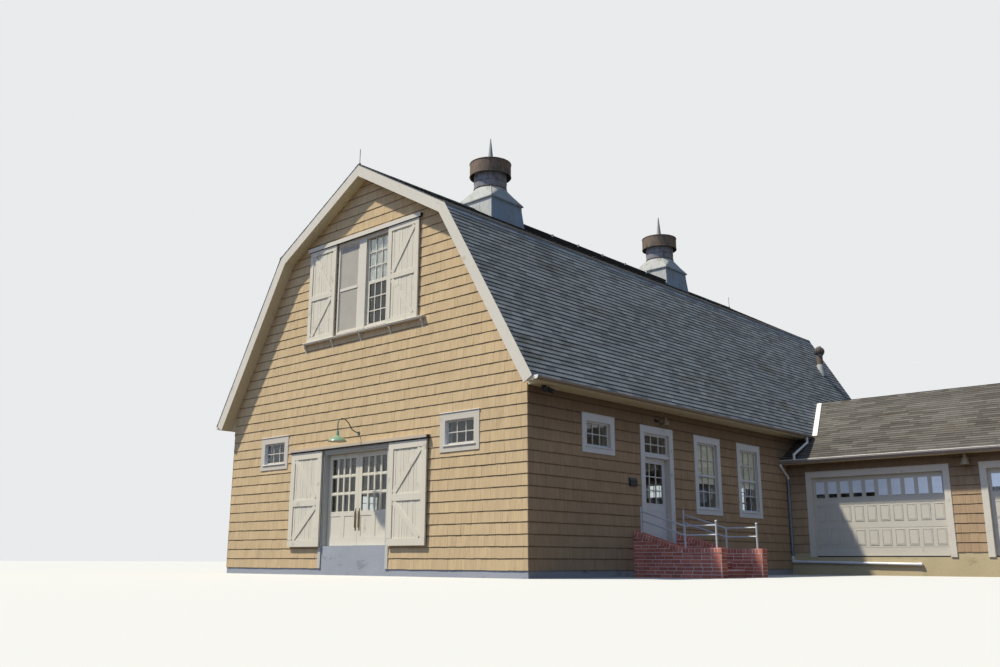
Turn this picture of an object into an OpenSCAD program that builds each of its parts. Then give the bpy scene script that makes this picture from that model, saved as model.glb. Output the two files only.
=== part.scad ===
// Gambrel-roofed barn in shingles, with sliding doors, a brick entry stair and a two-bay garage wing.
// The origin is the middle of the barn's underside. +X is the side with the wing, -Y the front.

/* [Barn body] */
// Width of the barn between the outer faces of its side walls
barn_w = 10400; // [9600:50:11600]
// Length of the barn between the outer faces of its end walls
barn_l = 17650; // [17200:50:19000]
// Thickness of every wall
wall_t = 200; // [180:5:240]
// Top of the concrete base above the lowest ground
base_top = 150; // [120:5:220]
// Level of the ground floor
floor_z = 660; // [600:10:720]
// Thickness of the ground floor
floor_t = 150; // [100:5:200]
// Level of the loft floor
loft_z = 5600; // [5400:10:5640]
// Thickness of the loft floor
loft_t = 240; // [160:5:300]
// Height of the seam between the front wall's side pieces and its gable
gable_seam_z = 3520; // [3480:5:3600]

/* [Barn roof] */
// Level of the roof's outer edge at the eaves
eave_z = 3860; // [3800:10:3950]
// Eave overhang beyond the side walls
eave_out = 410; // [300:10:500]
// Level of the knee where the two slopes meet
knee_z = 8090; // [7900:10:8300]
// Distance of the knee in from the side wall's face
knee_in = 2120; // [2000:10:2300]
// Level of the ridge
ridge_z = 9860; // [9700:10:10100]
// Thickness of the roof, square to its slope
roof_t = 200; // [160:5:240]
// Height of the plumb face at the eave
eave_face = 100; // [90:5:150]
// Overhang of the roof beyond the gables
verge_out = 310; // [250:10:400]
// Thickness of the rake boards
rake_t = 30; // [20:1:40]
// Depth of the rake boards, square to the slope
rake_d = 260; // [220:5:300]

/* [Ventilators] */
// Distance of each ventilator from the barn's end
vent_from_end = 4450; // [4000:50:5000]
// Width of the ventilator's box at its foot
vent_box_w = 1380; // [1200:10:1500]
// Width of the ventilator's box under its hood
vent_box_top_w = 1240; // [1100:10:1280]
// Width of the hood's lower edge
vent_hood_w = 1300; // [1290:10:1450]
// Level of the hood's lower edge
vent_hood_z = 10115; // [10050:5:10200]
// Height of the hood up to the throat
vent_hood_h = 455; // [380:5:520]
// Radius of the throat
vent_throat_r = 460; // [400:5:500]
// Level of the wind band's lower edge
vent_band_z = 11000; // [10950:5:11050]
// Height of the wind band
vent_band_h = 365; // [320:5:420]
// Radius of the wind band
vent_band_r = 590; // [550:5:640]
// Thickness of the wind band's ring
vent_band_t = 25; // [20:1:40]
// Height of the spire
vent_spire_h = 810; // [700:10:1000]
// Radius of the spire at its foot
vent_spire_r = 93; // [75:1:105]

/* [Solar row] */
// Number of modules in the row
solar_count = 6; // [4:1:6]
// Length of a module along the ridge
solar_l = 1180; // [1000:10:1190]
// Width of a module down the slope
solar_w = 540; // [480:10:600]
// Thickness of a module
solar_t = 40; // [30:1:50]
// Distance between two modules
solar_gap = 40; // [20:1:60]
// Distance of the modules from the roof
solar_stand = 90; // [60:5:120]
// Distance of the row's upper edge from the ridge, down the slope
solar_from_ridge = 180; // [150:10:300]

/* [Roof stack] */
// Distance of the stack in from the side wall's face
stack_in = 1300; // [1100:10:1500]
// Distance of the stack from the barn's rear wall
stack_from_back = 700; // [600:10:900]
// Radius of the stack's pipe
stack_r = 100; // [80:1:120]
// Height of the stack's pipe above the roof
stack_h = 545; // [450:5:700]
// Radius of the round cowl
cowl_r = 165; // [140:1:190]

/* [Big doorway] */
// Distance of the big doorway's middle from the barn's centreline
door_mid_x = -80; // [-150:5:0]
// Clear width of the big doorway
door_w = 2300; // [2200:10:2340]
// Level of the big doorway's head
door_head_z = 2840; // [2800:10:2880]
// Width of each sliding door
slider_w = 1225; // [1200:5:1240]
// Thickness of a sliding door
slider_t = 45; // [35:1:55]
// Distance of the open right sliding door's near edge outside the doorway's edge
slider_clear = 100; // [80:5:150]
// Distance of the open left sliding door's near edge outside the doorway's edge
left_slider_clear = 20; // [10:5:150]
// Gap between the sliding doors' backs and the wall
slider_stand = 45; // [40:1:60]
// Level of the sliding doors' lower edge
slider_foot_z = 645; // [630:5:680]
// Level of the sliding doors' upper edge
slider_head_z = 2900; // [2880:5:2930]
// Gap left between the two sliding doors when they are closed
slider_meet = 6; // [5:1:10]
// Thickness of the doorway's lining
lining_t = 40; // [30:1:50]
// Thickness of the glazed doors
leaf_t = 45; // [40:1:50]
// Distance of the glazed doors' outer face behind the wall's face
leaf_set = 120; // [100:5:130]
// Gap around each hinged door
leaf_gap = 5; // [5:1:8]
// Level of the lower edge of the glazed doors' glass
leaf_glass_z = 1450; // [1400:10:1600]
// Width of the glazed doors' stiles and top rails
leaf_stile = 115; // [100:5:130]

/* [Side door] */
// Distance of the side door's middle from the barn's front
side_door_y = 4565; // [4500:5:4600]
// Clear width of the side doorway
side_door_w = 1100; // [1050:10:1120]
// Level of the side doorway's head
side_head_z = 3240; // [3200:10:3260]
// Level of the lower edge of the side door's transom bar
side_transom_z = 2660; // [2620:10:2700]
// Height of the side door's transom bar
side_transom_h = 60; // [50:5:80]
// Level of the lower edge of the side door's glass
side_glass_z = 1620; // [1550:10:1700]

/* [Windows] */
// Width of every window's outer casing
casing_w = 130; // [100:5:140]
// Distance that casings stand out from the wall
casing_out = 28; // [20:1:35]
// Width of a small window's opening
small_w = 900; // [800:10:1000]
// Height of a small window's opening
small_h = 570; // [500:10:640]
// Level of a small window's middle
small_z = 2985; // [2960:5:3010]
// Level of the middle of the windows in the wing's rear wall
wing_window_z = 2250; // [2000:10:2400]
// Distance of the small end windows' middles in from the side walls' faces
end_window_in = 1880; // [1500:10:1900]
// Distance of the side's small window from the barn's front
side_small_y = 2310; // [2200:10:2400]
// Width of a tall window's opening
tall_w = 985; // [900:10:1050]
// Height of a tall window's opening
tall_h = 1640; // [1500:10:1700]
// Level of a tall window's middle
tall_z = 2397; // [2380:1:2420]
// Distance of the first tall window from the barn's front
tall_first_y = 6820; // [6780:10:6900]
// Distance between tall windows
tall_pitch = 2110; // [2000:10:2150]
// Thickness of the sashes
sash_t = 45; // [35:1:55]
// Width of the sashes' bars
sash_w = 50; // [40:1:60]
// Distance of the sashes' outer face behind the wall's face
sash_set = 40; // [30:1:60]
// Thickness of every pane
pane_t = 8; // [6:1:12]

/* [Loft doors] */
// Distance of the loft windows' middle from the barn's centreline
loft_mid_x = -80; // [-150:5:-60]
// Width of one loft window
loft_window_w = 820; // [780:10:840]
// Width of the post between the loft windows
loft_post_w = 260; // [200:10:300]
// Level of the loft opening's sill
loft_sill_z = 5740; // [5730:5:5780]
// Level of the loft opening's head
loft_head_z = 8050; // [7950:10:8080]
// Width of each loft shutter
shutter_w = 1055; // [1000:5:1060]
// Distance of the shutters' near edges from the loft windows' middle
shutter_x = 990; // [975:5:1020]
// Thickness of the loft shutters
shutter_t = 45; // [35:1:50]
// Length of the shelf under the loft shutters
shelf_l = 4410; // [4200:10:4450]
// Depth of the shelf under the loft shutters
shelf_d = 110; // [90:5:200]
// Thickness of the shelf under the loft shutters
shelf_t = 45; // [30:1:50]
// Distance of the shelf's middle from the barn's centreline
shelf_mid_x = -20; // [-80:5:0]
// Number of brackets under the shelf
bracket_count = 5; // [3:1:7]
// Height of the brackets under the shelf
bracket_h = 250; // [180:5:280]

/* [Door track] */
// Height of the boxed door track
track_h = 60; // [56:1:80]
// Depth of the boxed door track out from the wall
track_d = 120; // [118:1:140]
// Thickness of the track's casing
track_t = 8; // [6:1:10]
// Length of the loft shutters' track
loft_track_l = 4220; // [4200:10:4400]

/* [Entry stair] */
// Length of the stair's brick side walls out from the barn
stair_l = 2140; // [2000:10:2300]
// Length of the side walls' sloping part
stair_slope_l = 1240; // [1100:10:1400]
// Level of the side walls' top against the barn
stair_high_z = 990; // [950:10:1050]
// Level of the side walls' flat part
stair_low_z = 605; // [560:5:660]
// Thickness of the side walls
stair_wall_t = 220; // [200:5:230]
// Clear width between the side walls
stair_clear = 1520; // [1440:10:1600]
// Height of the brick cap on the side walls
stair_cap_h = 95; // [80:5:110]
// Distance that the cap stands out beyond the side walls
stair_cap_out = 12; // [8:1:20]
// Number of risers from the ground to the side door
stair_risers = 4; // [3:1:5]
// Depth of the stair's landing
landing_d = 1080; // [950:10:1150]
// Depth of each tread
tread_d = 320; // [280:5:350]
// Radius of the rails
rail_r = 18; // [15:1:24]
// Radius of the rail posts
post_r = 21; // [19:1:28]
// Height of the top rail above the side walls
rail_h = 460; // [420:10:500]
// Distance of the end posts in from the ends of the side walls
rail_inset = 150; // [120:5:200]

/* [Garage wing] */
// Distance of the wing's front wall from the barn's front
wing_y = 11140; // [11000:10:11300]
// Number of garage bays
bay_count = 2; // [1:1:4]
// Width of one bay
bay_w = 4490; // [4400:10:4700]
// Plain wall left at each end of the bays
wing_end_w = 205; // [200:5:300]
// Clear width of a garage doorway
garage_w = 3520; // [3400:10:3600]
// Level of the garage floor
garage_floor_z = 465; // [440:5:480]
// Level of the garage doorways' heads
garage_head_z = 2610; // [2560:10:2640]
// Top of the wing's concrete base
wing_base_top = 586; // [560:2:620]
// Level of the wing roof's outer edge at the eaves
wing_eave_z = 3075; // [3050:5:3120]
// Eave overhang of the wing's roof
wing_eave_out = 390; // [300:10:450]
// Level of the wing's ridge
wing_ridge_z = 5170; // [5000:10:5300]
// Thickness of the wing's roof, square to its slope
wing_roof_t = 180; // [150:5:220]
// Overhang of the wing's roof at its end
wing_verge_out = 250; // [200:10:350]
// Thickness of a garage door
garage_door_t = 45; // [40:1:60]
// Distance of the garage doors behind the wall's face
garage_door_set = 95; // [80:5:110]
// Number of lights in a garage door's top row
light_count = 10; // [6:1:12]
// Width of a light in a garage door
light_w = 235; // [200:5:240]
// Height of a light in a garage door
light_h = 430; // [380:5:450]
// Distance from the top of the lights to the head of a garage doorway
light_head_in = 145; // [120:5:170]

/* [Lamps and gutters] */
// Distance of the gooseneck lamp's shade out from the wall
lamp_out = 640; // [560:10:680]
// Radius of the gooseneck lamp's shade
lamp_r = 215; // [190:5:240]
// Level of the gooseneck lamp's wall plate
lamp_z = 3215; // [3200:5:3260]
// Distance of the gooseneck lamp to the right of the doorway's middle
lamp_x = 100; // [0:10:150]
// Radius of the gooseneck lamp's pipe
lamp_pipe_r = 13; // [10:1:18]
// Radius of the small wall lamps' shades
bell_r = 95; // [80:5:110]
// Size of the wing's bell lamps beside the side door's one
pier_lamp = 1.3; // [1:0.05:1.4]
// Distance of a lamp between two garage doors past the joint of the bays
pier_lamp_x = 90; // [0:5:120]
// Width of the gutters
gutter_w = 110; // [90:5:125]
// Height of the gutters
gutter_h = 95; // [80:5:110]
// Radius of the barn's half-round gutters
barn_gutter_r = 60; // [50:1:75]
// Radius of the downpipes
pipe_r = 38; // [30:1:45]
// Height of the bend that brings the wing's downpipe back to the wall
swan_neck_h = 330; // [280:10:400]
// Length of the pipe that runs along the foot of the wing
shoe_l = 3430; // [1500:10:3600]
// Level of that pipe above the barn's concrete base
shoe_rise = 196; // [150:2:300]

/* [Hidden] */
$fn = 48;

half_w = barn_w / 2;
front_y = -barn_l / 2;
back_y = barn_l / 2;
inner_x = half_w - wall_t;
// Clearance of a hinge or roller from its seat, and the joint between mitred boards
seat_gap = 0.3;
trim_joint = 0.5;
over = 10;

// The barn roof's outer and inner outline, right half, as [distance from the centreline, level]
eave_x = half_w + eave_out;
knee_x = half_w - knee_in;
plate_z = eave_z - eave_face;
slope_low = atan((knee_z - eave_z) / (eave_x - knee_x));
slope_high = atan((ridge_z - knee_z) / knee_x);
function mitre(t) = t / (1 + cos(slope_low - slope_high));
function knee_at(t) = [knee_x - mitre(t) * (sin(slope_low) + sin(slope_high)),
                       knee_z - mitre(t) * (cos(slope_low) + cos(slope_high))];
function ridge_at(t) = [0, ridge_z - t / cos(slope_high)];
// Level of the lower slope's inner face at a distance from the centreline
function inner_z(x) = knee_at(roof_t)[1] - (x - knee_at(roof_t)[0]) * tan(slope_low);
// Distance from the centreline of the lower slope's inner face at a level
function inner_x_at(z) = knee_at(roof_t)[0] + (knee_at(roof_t)[1] - z) / tan(slope_low);
// Level of the roof's outer face at a distance from the centreline
function roof_z(x) = abs(x) < knee_x ? ridge_z - abs(x) * tan(slope_high)
                                     : knee_z - (abs(x) - knee_x) * tan(slope_low);

// The wing's outline, as [Y, level]
wing_front_y = front_y + wing_y;
wing_x1 = half_w + 2 * wing_end_w + bay_count * bay_w;
wing_ridge_y = (wing_front_y + back_y) / 2;
wing_half = (back_y - wing_front_y) / 2;
wing_plate_z = wing_eave_z - eave_face;
wing_slope = atan((wing_ridge_z - wing_eave_z) / (wing_half + wing_eave_out));
function wing_inner_z(d) = wing_ridge_z - wing_roof_t / cos(wing_slope) - d * tan(wing_slope);

// Levels and places that several pieces share
leaf_foot_z = floor_z + leaf_gap;
side_y0 = front_y + side_door_y - side_door_w / 2;
side_y1 = front_y + side_door_y + side_door_w / 2;
track_z = slider_head_z + 15;
track_slot = 22;
hanger_y = slider_stand + slider_t / 2;
slider_rest = door_w / 2 + slider_clear;
left_slider_rest = door_w / 2 + left_slider_clear;
roller_r = track_h / 2 - track_t - 6;
opening_half = loft_window_w + loft_post_w / 2;
stair_mid_y = front_y + side_door_y - 55;
riser = floor_z / stair_risers;
// Level of the gooseneck lamp's rim below its wall plate
lamp_drop = -240;

// Places of the windows: [position along the wall, middle level, width, height]
function small(p) = [p, small_z, small_w, small_h];
function tall(p) = [p, tall_z, tall_w, tall_h];
front_window_x = half_w - end_window_in;
front_windows = [small(-front_window_x), small(front_window_x)];
right_windows = [small(front_y + side_small_y), tall(front_y + tall_first_y),
                 tall(front_y + tall_first_y + tall_pitch)];
left_windows = [for (p = [side_small_y, side_door_y, tall_first_y, tall_first_y + tall_pitch,
                          barn_l - side_door_y, barn_l - side_small_y])
                p == side_small_y || p == barn_l - side_small_y ? small(-front_y - p) : tall(-front_y - p)];
back_windows = [small(-front_window_x), tall(0), small(front_window_x)];
wing_end_windows = [small(wing_ridge_y)];
wing_back_windows = [for (i = [0:bay_count - 1])
                     [-(half_w + wing_end_w + bay_w * (i + 0.5)), wing_window_z, small_w, small_h]];

// Extrudes an outline drawn as [X, Z] from y0 to y1
module along_y(y0, y1) {
    translate([0, y1, 0]) rotate([90, 0, 0]) linear_extrude(y1 - y0) children();
}

// Extrudes an outline drawn as [Y, Z] from x0 to x1
module along_x(x0, x1) {
    translate([x0, 0, 0]) rotate([90, 0, 90]) linear_extrude(x1 - x0) children();
}

// A box between two corners
module block(a, b) {
    translate(a) cube(b - a);
}

// A round bar between two points
module bar(p, q, r) {
    v = q - p;
    len = norm(v);
    translate(p) rotate([0, acos(v[2] / len), atan2(v[1], v[0])]) cylinder(r = r, h = len);
}

// Puts a piece drawn at a wall, with its outside towards -Y, on one side of the building
module on_front(p) translate([p[0], front_y, p[1]]) children();
module on_right(p) translate([half_w, p[0], p[1]]) rotate([0, 0, 90]) children();
module on_back(p) translate([-p[0], back_y, p[1]]) rotate([0, 0, 180]) children();
module on_left(p) translate([-half_w, -p[0], p[1]]) rotate([0, 0, -90]) children();
module on_wing_end(p) translate([wing_x1, p[0], p[1]]) rotate([0, 0, 90]) children();

// The hole that a window needs in a wall
module window_hole(w) {
    translate([-w[2] / 2, -over, -w[3] / 2]) cube([w[2], wall_t + 2 * over, w[3]]);
}

// A flat ring in the wall's plane, from depth y0 to depth y1
module ring(w, h, edge, y0, y1) {
    along_y(y0, y1) difference() {
        square([w, h], center = true);
        square([w - 2 * edge, h - 2 * edge], center = true);
    }
}

// Casing, lining and sash of a fixed window, drawn around its middle
module window_frame(w) {
    ring(w[2] + 2 * casing_w, w[3] + 2 * casing_w, casing_w, -casing_out, 0);
    ring(w[2], w[3], sash_w / 2, -casing_out, wall_t);
    ring(w[2] - sash_w / 2, w[3] - sash_w / 2, sash_w, sash_set, sash_set + sash_t);
}

// The pane of a fixed window
module window_pane(w) {
    edge = 2.5 * sash_w;
    translate([-(w[2] - edge) / 2, sash_set + (sash_t - pane_t) / 2, -(w[3] - edge) / 2])
        cube([w[2] - edge, pane_t, w[3] - edge]);
}

// Half of the barn's outer outline above the walls, kept clear by what stands on the roof
module barn_outline() {
    polygon([[-half_w, 0], [half_w, 0], [half_w, plate_z], [eave_x, plate_z], [eave_x, eave_z],
             [knee_x, knee_z], [0, ridge_z], [-knee_x, knee_z], [-eave_x, eave_z], [-eave_x, plate_z],
             [-half_w, plate_z]]);
}

// The barn's gable outline under the roof
module gable_outline() {
    k = knee_at(roof_t);
    polygon([[-half_w, base_top], [half_w, base_top], [half_w, plate_z], [inner_x, plate_z],
             [inner_x, inner_z(inner_x)], k, ridge_at(roof_t), [-k[0], k[1]],
             [-inner_x, inner_z(inner_x)], [-inner_x, plate_z], [-half_w, plate_z]]);
}

module foundation() {
    color("slategray") block([-half_w, front_y, 0], [half_w, back_y, base_top]);
}

module ground_floor() {
    color("burlywood") block([-inner_x, front_y + wall_t, floor_z - floor_t],
                             [inner_x, back_y - wall_t, floor_z]);
}

module loft_floor() {
    low = inner_x_at(loft_z - loft_t) - seat_gap;
    high = inner_x_at(loft_z) - seat_gap;
    color("burlywood") along_y(front_y + wall_t, back_y - wall_t)
        polygon([[-low, loft_z - loft_t], [low, loft_z - loft_t], [high, loft_z], [-high, loft_z]]);
}

// Concrete sills that close the walls below the two doorways
module door_sills() {
    color("lightslategray") {
        block([door_mid_x - door_w / 2, front_y, base_top], [door_mid_x + door_w / 2, front_y + wall_t, floor_z]);
        block([inner_x, side_y0, base_top], [half_w, side_y1, floor_z]);
    }
}

module front_side_wall(x0, x1, windows) {
    difference() {
        block([x0, front_y, base_top], [x1, front_y + wall_t, gable_seam_z]);
        for (w = windows) on_front(w) window_hole(w);
    }
}

module front_wall_left() {
    color("tan") front_side_wall(-half_w, door_mid_x - door_w / 2, [front_windows[0]]);
}

module front_wall_right() {
    color("tan") front_side_wall(door_mid_x + door_w / 2, half_w, [front_windows[1]]);
}

module loft_hole(y0, y1) {
    block([loft_mid_x - opening_half, y0, loft_sill_z], [loft_mid_x + opening_half, y1, loft_head_z]);
}

module front_gable() {
    color("tan") difference() {
        along_y(front_y, front_y + wall_t) gable_outline();
        for (s = [-1, 1]) {
            edge = door_mid_x + s * door_w / 2;
            block([min(edge, s * (half_w + over)), front_y - over, 0],
                  [max(edge, s * (half_w + over)), front_y + wall_t + over, gable_seam_z]);
        }
        block([door_mid_x - door_w / 2, front_y - over, 0],
              [door_mid_x + door_w / 2, front_y + wall_t + over, door_head_z]);
        loft_hole(front_y - over, front_y + wall_t + over);
    }
}

module back_wall() {
    color("tan") difference() {
        along_y(back_y - wall_t, back_y) gable_outline();
        for (w = back_windows) on_back(w) window_hole(w);
    }
}

module left_wall() {
    color("tan") difference() {
        block([-half_w, front_y + wall_t, base_top], [-inner_x, back_y - wall_t, plate_z]);
        for (w = left_windows) on_left(w) window_hole(w);
    }
}

module right_wall_front() {
    color("tan") difference() {
        block([inner_x, front_y + wall_t, base_top], [half_w, side_y0, plate_z]);
        on_right(right_windows[0]) window_hole(right_windows[0]);
    }
}

module right_wall_over_door() {
    color("tan") block([inner_x, side_y0, side_head_z], [half_w, side_y1, plate_z]);
}

module right_wall_back() {
    color("tan") difference() {
        block([inner_x, side_y1, base_top], [half_w, back_y - wall_t, plate_z]);
        for (i = [1, 2]) on_right(right_windows[i]) window_hole(right_windows[i]);
    }
}

// Outline of the right lower slope as it is beyond the gables
module bare_slope() {
    polygon([[knee_x, knee_z], [eave_x, eave_z], [eave_x, plate_z], [inner_x_at(plate_z), plate_z],
             knee_at(roof_t)]);
}

// Outline of the right lower slope with its boxed eave
module boxed_slope() {
    polygon([[knee_x, knee_z], [eave_x, eave_z], [eave_x, plate_z], [inner_x, plate_z],
             [inner_x, inner_z(inner_x)], knee_at(roof_t)]);
}

module lower_slope() {
    along_y(front_y - verge_out, back_y + verge_out) bare_slope();
    along_y(front_y, back_y) boxed_slope();
}

module upper_slope() {
    polygon([ridge_at(0), [knee_x, knee_z], knee_at(roof_t), ridge_at(roof_t)]);
}

module roof_lower_right() {
    color("dimgray") lower_slope();
}

module roof_lower_left() {
    color("dimgray") mirror([1, 0, 0]) lower_slope();
}

module roof_upper_right() {
    color("dimgray") along_y(front_y - verge_out, back_y + verge_out) upper_slope();
}

module roof_upper_left() {
    color("dimgray") mirror([1, 0, 0]) along_y(front_y - verge_out, back_y + verge_out) upper_slope();
}

// One half of a gable's rake boards, with a fine joint at the ridge and at the knee
module rake_pair() {
    k = knee_at(rake_d);
    polygon([[trim_joint / 2, ridge_z], [knee_x, knee_z], k, [trim_joint / 2, ridge_at(rake_d)[1]]]);
    translate([trim_joint, -trim_joint])
        polygon([[knee_x, knee_z], [eave_x - trim_joint, eave_z + trim_joint],
                 [eave_x - trim_joint - rake_d * sin(slope_low), eave_z + trim_joint - rake_d * cos(slope_low)], k]);
}

// The wing's bargeboard at its end gable
module wing_rake() {
    tip_y = wing_half + wing_eave_out;
    deep = rake_d * 0.8 / cos(wing_slope);
    polygon([[wing_ridge_y + trim_joint / 2, wing_ridge_z], [wing_ridge_y + tip_y, wing_eave_z],
             [wing_ridge_y + tip_y, wing_plate_z],
             [wing_ridge_y + (wing_ridge_z - deep - wing_plate_z) / tan(wing_slope), wing_plate_z],
             [wing_ridge_y + trim_joint / 2, wing_ridge_z - deep]]);
}

module rake_boards() {
    color("gainsboro") {
        for (m = [0, 1]) mirror([m, 0, 0]) {
            along_y(front_y - verge_out - rake_t, front_y - verge_out) rake_pair();
            along_y(back_y + verge_out, back_y + verge_out + rake_t) rake_pair();
        }
        for (m = [0, 1]) translate([0, m * 2 * wing_ridge_y, 0]) mirror([0, m, 0])
            along_x(wing_x1 + wing_verge_out, wing_x1 + wing_verge_out + rake_t) wing_rake();
    }
}

// Places one ventilator near each end of the ridge
module each_ventilator() {
    for (s = [-1, 1]) translate([0, s * (barn_l / 2 - vent_from_end), 0]) children();
}

// Box, pyramid hood and throat of a ventilator
module ventilator_base() {
    difference() {
        hull() {
            translate([0, 0, roof_z(vent_box_w / 2) - 1]) linear_extrude(1) square(vent_box_w, center = true);
            translate([0, 0, vent_hood_z - 1]) linear_extrude(1) square(vent_box_top_w, center = true);
        }
        along_y(-vent_box_w, vent_box_w) barn_outline();
    }
    hull() {
        translate([0, 0, vent_hood_z]) linear_extrude(25) square(vent_hood_w, center = true);
        translate([0, 0, vent_hood_z + vent_hood_h]) cylinder(r = vent_throat_r, h = 1, $fn = 32);
    }
    translate([0, 0, vent_hood_z + vent_hood_h])
        cylinder(r = vent_throat_r, h = vent_band_z + vent_band_h - vent_hood_z - vent_hood_h);
}

module ventilator_bases() {
    color("lightsteelblue") each_ventilator() ventilator_base();
}

// Wind band with its cap and spire
module ventilator_bands() {
    top = vent_band_z + vent_band_h;
    color("saddlebrown") each_ventilator() {
        translate([0, 0, vent_band_z]) difference() {
            cylinder(r = vent_band_r, h = vent_band_h + vent_band_t);
            translate([0, 0, -over]) cylinder(r = vent_band_r - vent_band_t, h = vent_band_h + over);
        }
        translate([0, 0, top + vent_band_t]) cylinder(r1 = vent_spire_r, r2 = 4, h = vent_spire_h);
    }
}

// Modules on two rails and short feet, square to the right upper slope
module solar_panels() {
    row_l = solar_count * solar_l + (solar_count - 1) * solar_gap;
    rail = 40;
    color("midnightblue") rotate_about_ridge() {
        for (i = [0:solar_count - 1])
            block([solar_from_ridge, -row_l / 2 + i * (solar_l + solar_gap), solar_stand],
                  [solar_from_ridge + solar_w, -row_l / 2 + i * (solar_l + solar_gap) + solar_l,
                   solar_stand + solar_t]);
        for (f = [0.25, 0.75]) {
            d = solar_from_ridge + f * solar_w - rail / 2;
            block([d, -row_l / 2, solar_stand - rail], [d + rail, row_l / 2, solar_stand]);
            for (i = [0:solar_count]) {
                y = -row_l / 2 + i * (row_l - rail) / solar_count;
                block([d, y, seat_gap], [d + rail, y + rail, solar_stand - rail]);
            }
        }
    }
}

// Lays X down the right upper slope from the ridge, with Z square to it
module rotate_about_ridge() {
    translate([0, 0, ridge_z]) rotate([0, slope_high, 0]) children();
}

stack_x = half_w - stack_in;
stack_top_z = roof_z(stack_x) + stack_h;

module chimney_stack() {
    color("sienna") translate([stack_x, back_y - stack_from_back, 0]) {
        difference() {
            cylinder(r = stack_r, h = stack_top_z);
            translate([-stack_x, 0, 0]) along_y(-2 * stack_r, 2 * stack_r) barn_outline();
        }
        translate([0, 0, stack_top_z + cowl_r * 0.8]) sphere(r = cowl_r);
    }
}

// Boxed track with a slot below, for doors that hang on rollers
module track_box(x0, x1, z) {
    mid = hanger_y;
    difference() {
        block([x0, front_y - track_d, z], [x1, front_y, z + track_h]);
        block([x0 + track_t, front_y - track_d + track_t, z + track_t],
              [x1 - track_t, front_y - track_t, z + track_h - track_t]);
        block([x0 + track_t, front_y - mid - track_slot / 2, z - over],
              [x1 - track_t, front_y - mid + track_slot / 2, z + track_t + over]);
    }
}

module door_track() {
    ends = slider_w + 2 * track_t;
    color("gainsboro") {
        track_box(door_mid_x - left_slider_rest - ends, door_mid_x + slider_rest + ends, track_z);
        block([loft_mid_x - loft_track_l / 2, front_y - track_d + 20, loft_head_z + 40],
              [loft_mid_x + loft_track_l / 2, front_y, loft_head_z + 115]);
    }
}

// A sliding door with two roller hangers, drawn with its near edge at x0
module slider(x0) {
    y0 = front_y - slider_stand - slider_t;
    block([x0, y0, slider_foot_z], [x0 + slider_w, y0 + slider_t, slider_head_z]);
    for (f = [0.2, 0.8]) {
        x = x0 + f * slider_w;
        axle_z = track_z + track_t + roller_r + seat_gap;
        block([x - 30, front_y - hanger_y - 4, slider_head_z - over], [x + 30, front_y - hanger_y + 4, axle_z]);
        translate([x, front_y - hanger_y + 18, axle_z]) rotate([90, 0, 0]) cylinder(r = roller_r, h = 36);
    }
}

module sliding_door_left() {
    color("whitesmoke") slider(door_mid_x - left_slider_rest - slider_w);
}

module sliding_door_right() {
    color("whitesmoke") slider(door_mid_x + slider_rest);
}

// Alternate knuckles of a hinge along a vertical axis: three for the frame or two for the door
module knuckles(level, frame_side, r = 9, one = 24) {
    for (i = frame_side ? [0, 2, 4] : [1, 3])
        translate([0, 0, level + i * one]) cylinder(r = r, h = one - seat_gap);
}

hinge_levels = [200, 1050, 1850];
hinge_y = wall_t + 14;

// Lining of the big doorway, with its share of the hinges
module front_door_frame() {
    h = door_head_z - floor_z;
    color("gainsboro") translate([door_mid_x, front_y, 0]) {
        difference() {
            block([-door_w / 2, 0, floor_z], [door_w / 2, wall_t, door_head_z]);
            block([-door_w / 2 + lining_t, -over, floor_z - over],
                  [door_w / 2 - lining_t, wall_t + over, door_head_z - lining_t]);
        }
        for (s = [-1, 1], z = hinge_levels) {
            translate([s * (door_w / 2 - lining_t), hinge_y, 0]) knuckles(floor_z + z, true);
            for (i = [0, 2, 4])
                translate([s * (door_w / 2 - lining_t) + (s > 0 ? 0 : -20), wall_t, floor_z + z + i * 24])
                    cube([20, hinge_y - wall_t, 24 - seat_gap]);
        }
    }
}

// A hinged leaf with a glazed upper part; its hinge edge is at x = 0 and it runs along +X
module hinged_leaf(w, foot, head, glass_z, stile) {
    difference() {
        block([leaf_gap, leaf_set, foot], [w, leaf_set + leaf_t, head]);
        block([leaf_gap + stile, leaf_set - over, glass_z], [w - stile, leaf_set + leaf_t + over, head - stile]);
    }
    for (z = hinge_levels) {
        translate([0, hinge_y, 0]) knuckles(floor_z + z, false);
        for (i = [1, 3])
            translate([0, leaf_set + leaf_t, floor_z + z + i * 24]) hinge_strap();
    }
}

// Strap that carries a door's knuckle out from the leaf's inner face
module hinge_strap() {
    translate([leaf_gap + 1, -2, 0]) cube([12, hinge_y - leaf_set - leaf_t + 6, 24 - seat_gap]);
}

module leaf_pane(w, head, glass_z, stile) {
    mid = leaf_set + (leaf_t - pane_t) / 2;
    block([leaf_gap + stile, mid, glass_z], [w - stile, mid + pane_t, head - stile]);
}

glazed_w = door_w / 2 - lining_t - leaf_gap / 2;
glazed_head_z = door_head_z - lining_t - leaf_gap;

// Places a leaf on the left or right jamb of the big doorway
module at_left_jamb() translate([door_mid_x - door_w / 2 + lining_t, front_y, 0]) children();
module at_right_jamb() translate([door_mid_x + door_w / 2 - lining_t, front_y, 0]) mirror([1, 0, 0]) children();

module glazed_door_left() {
    color("whitesmoke") at_left_jamb() hinged_leaf(glazed_w, leaf_foot_z, glazed_head_z, leaf_glass_z, leaf_stile);
}

module glazed_door_right() {
    color("whitesmoke") at_right_jamb() hinged_leaf(glazed_w, leaf_foot_z, glazed_head_z, leaf_glass_z, leaf_stile);
}

module glazed_door_left_glass() {
    color("lightcyan", 0.4) at_left_jamb() leaf_pane(glazed_w, glazed_head_z, leaf_glass_z, leaf_stile);
}

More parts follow.
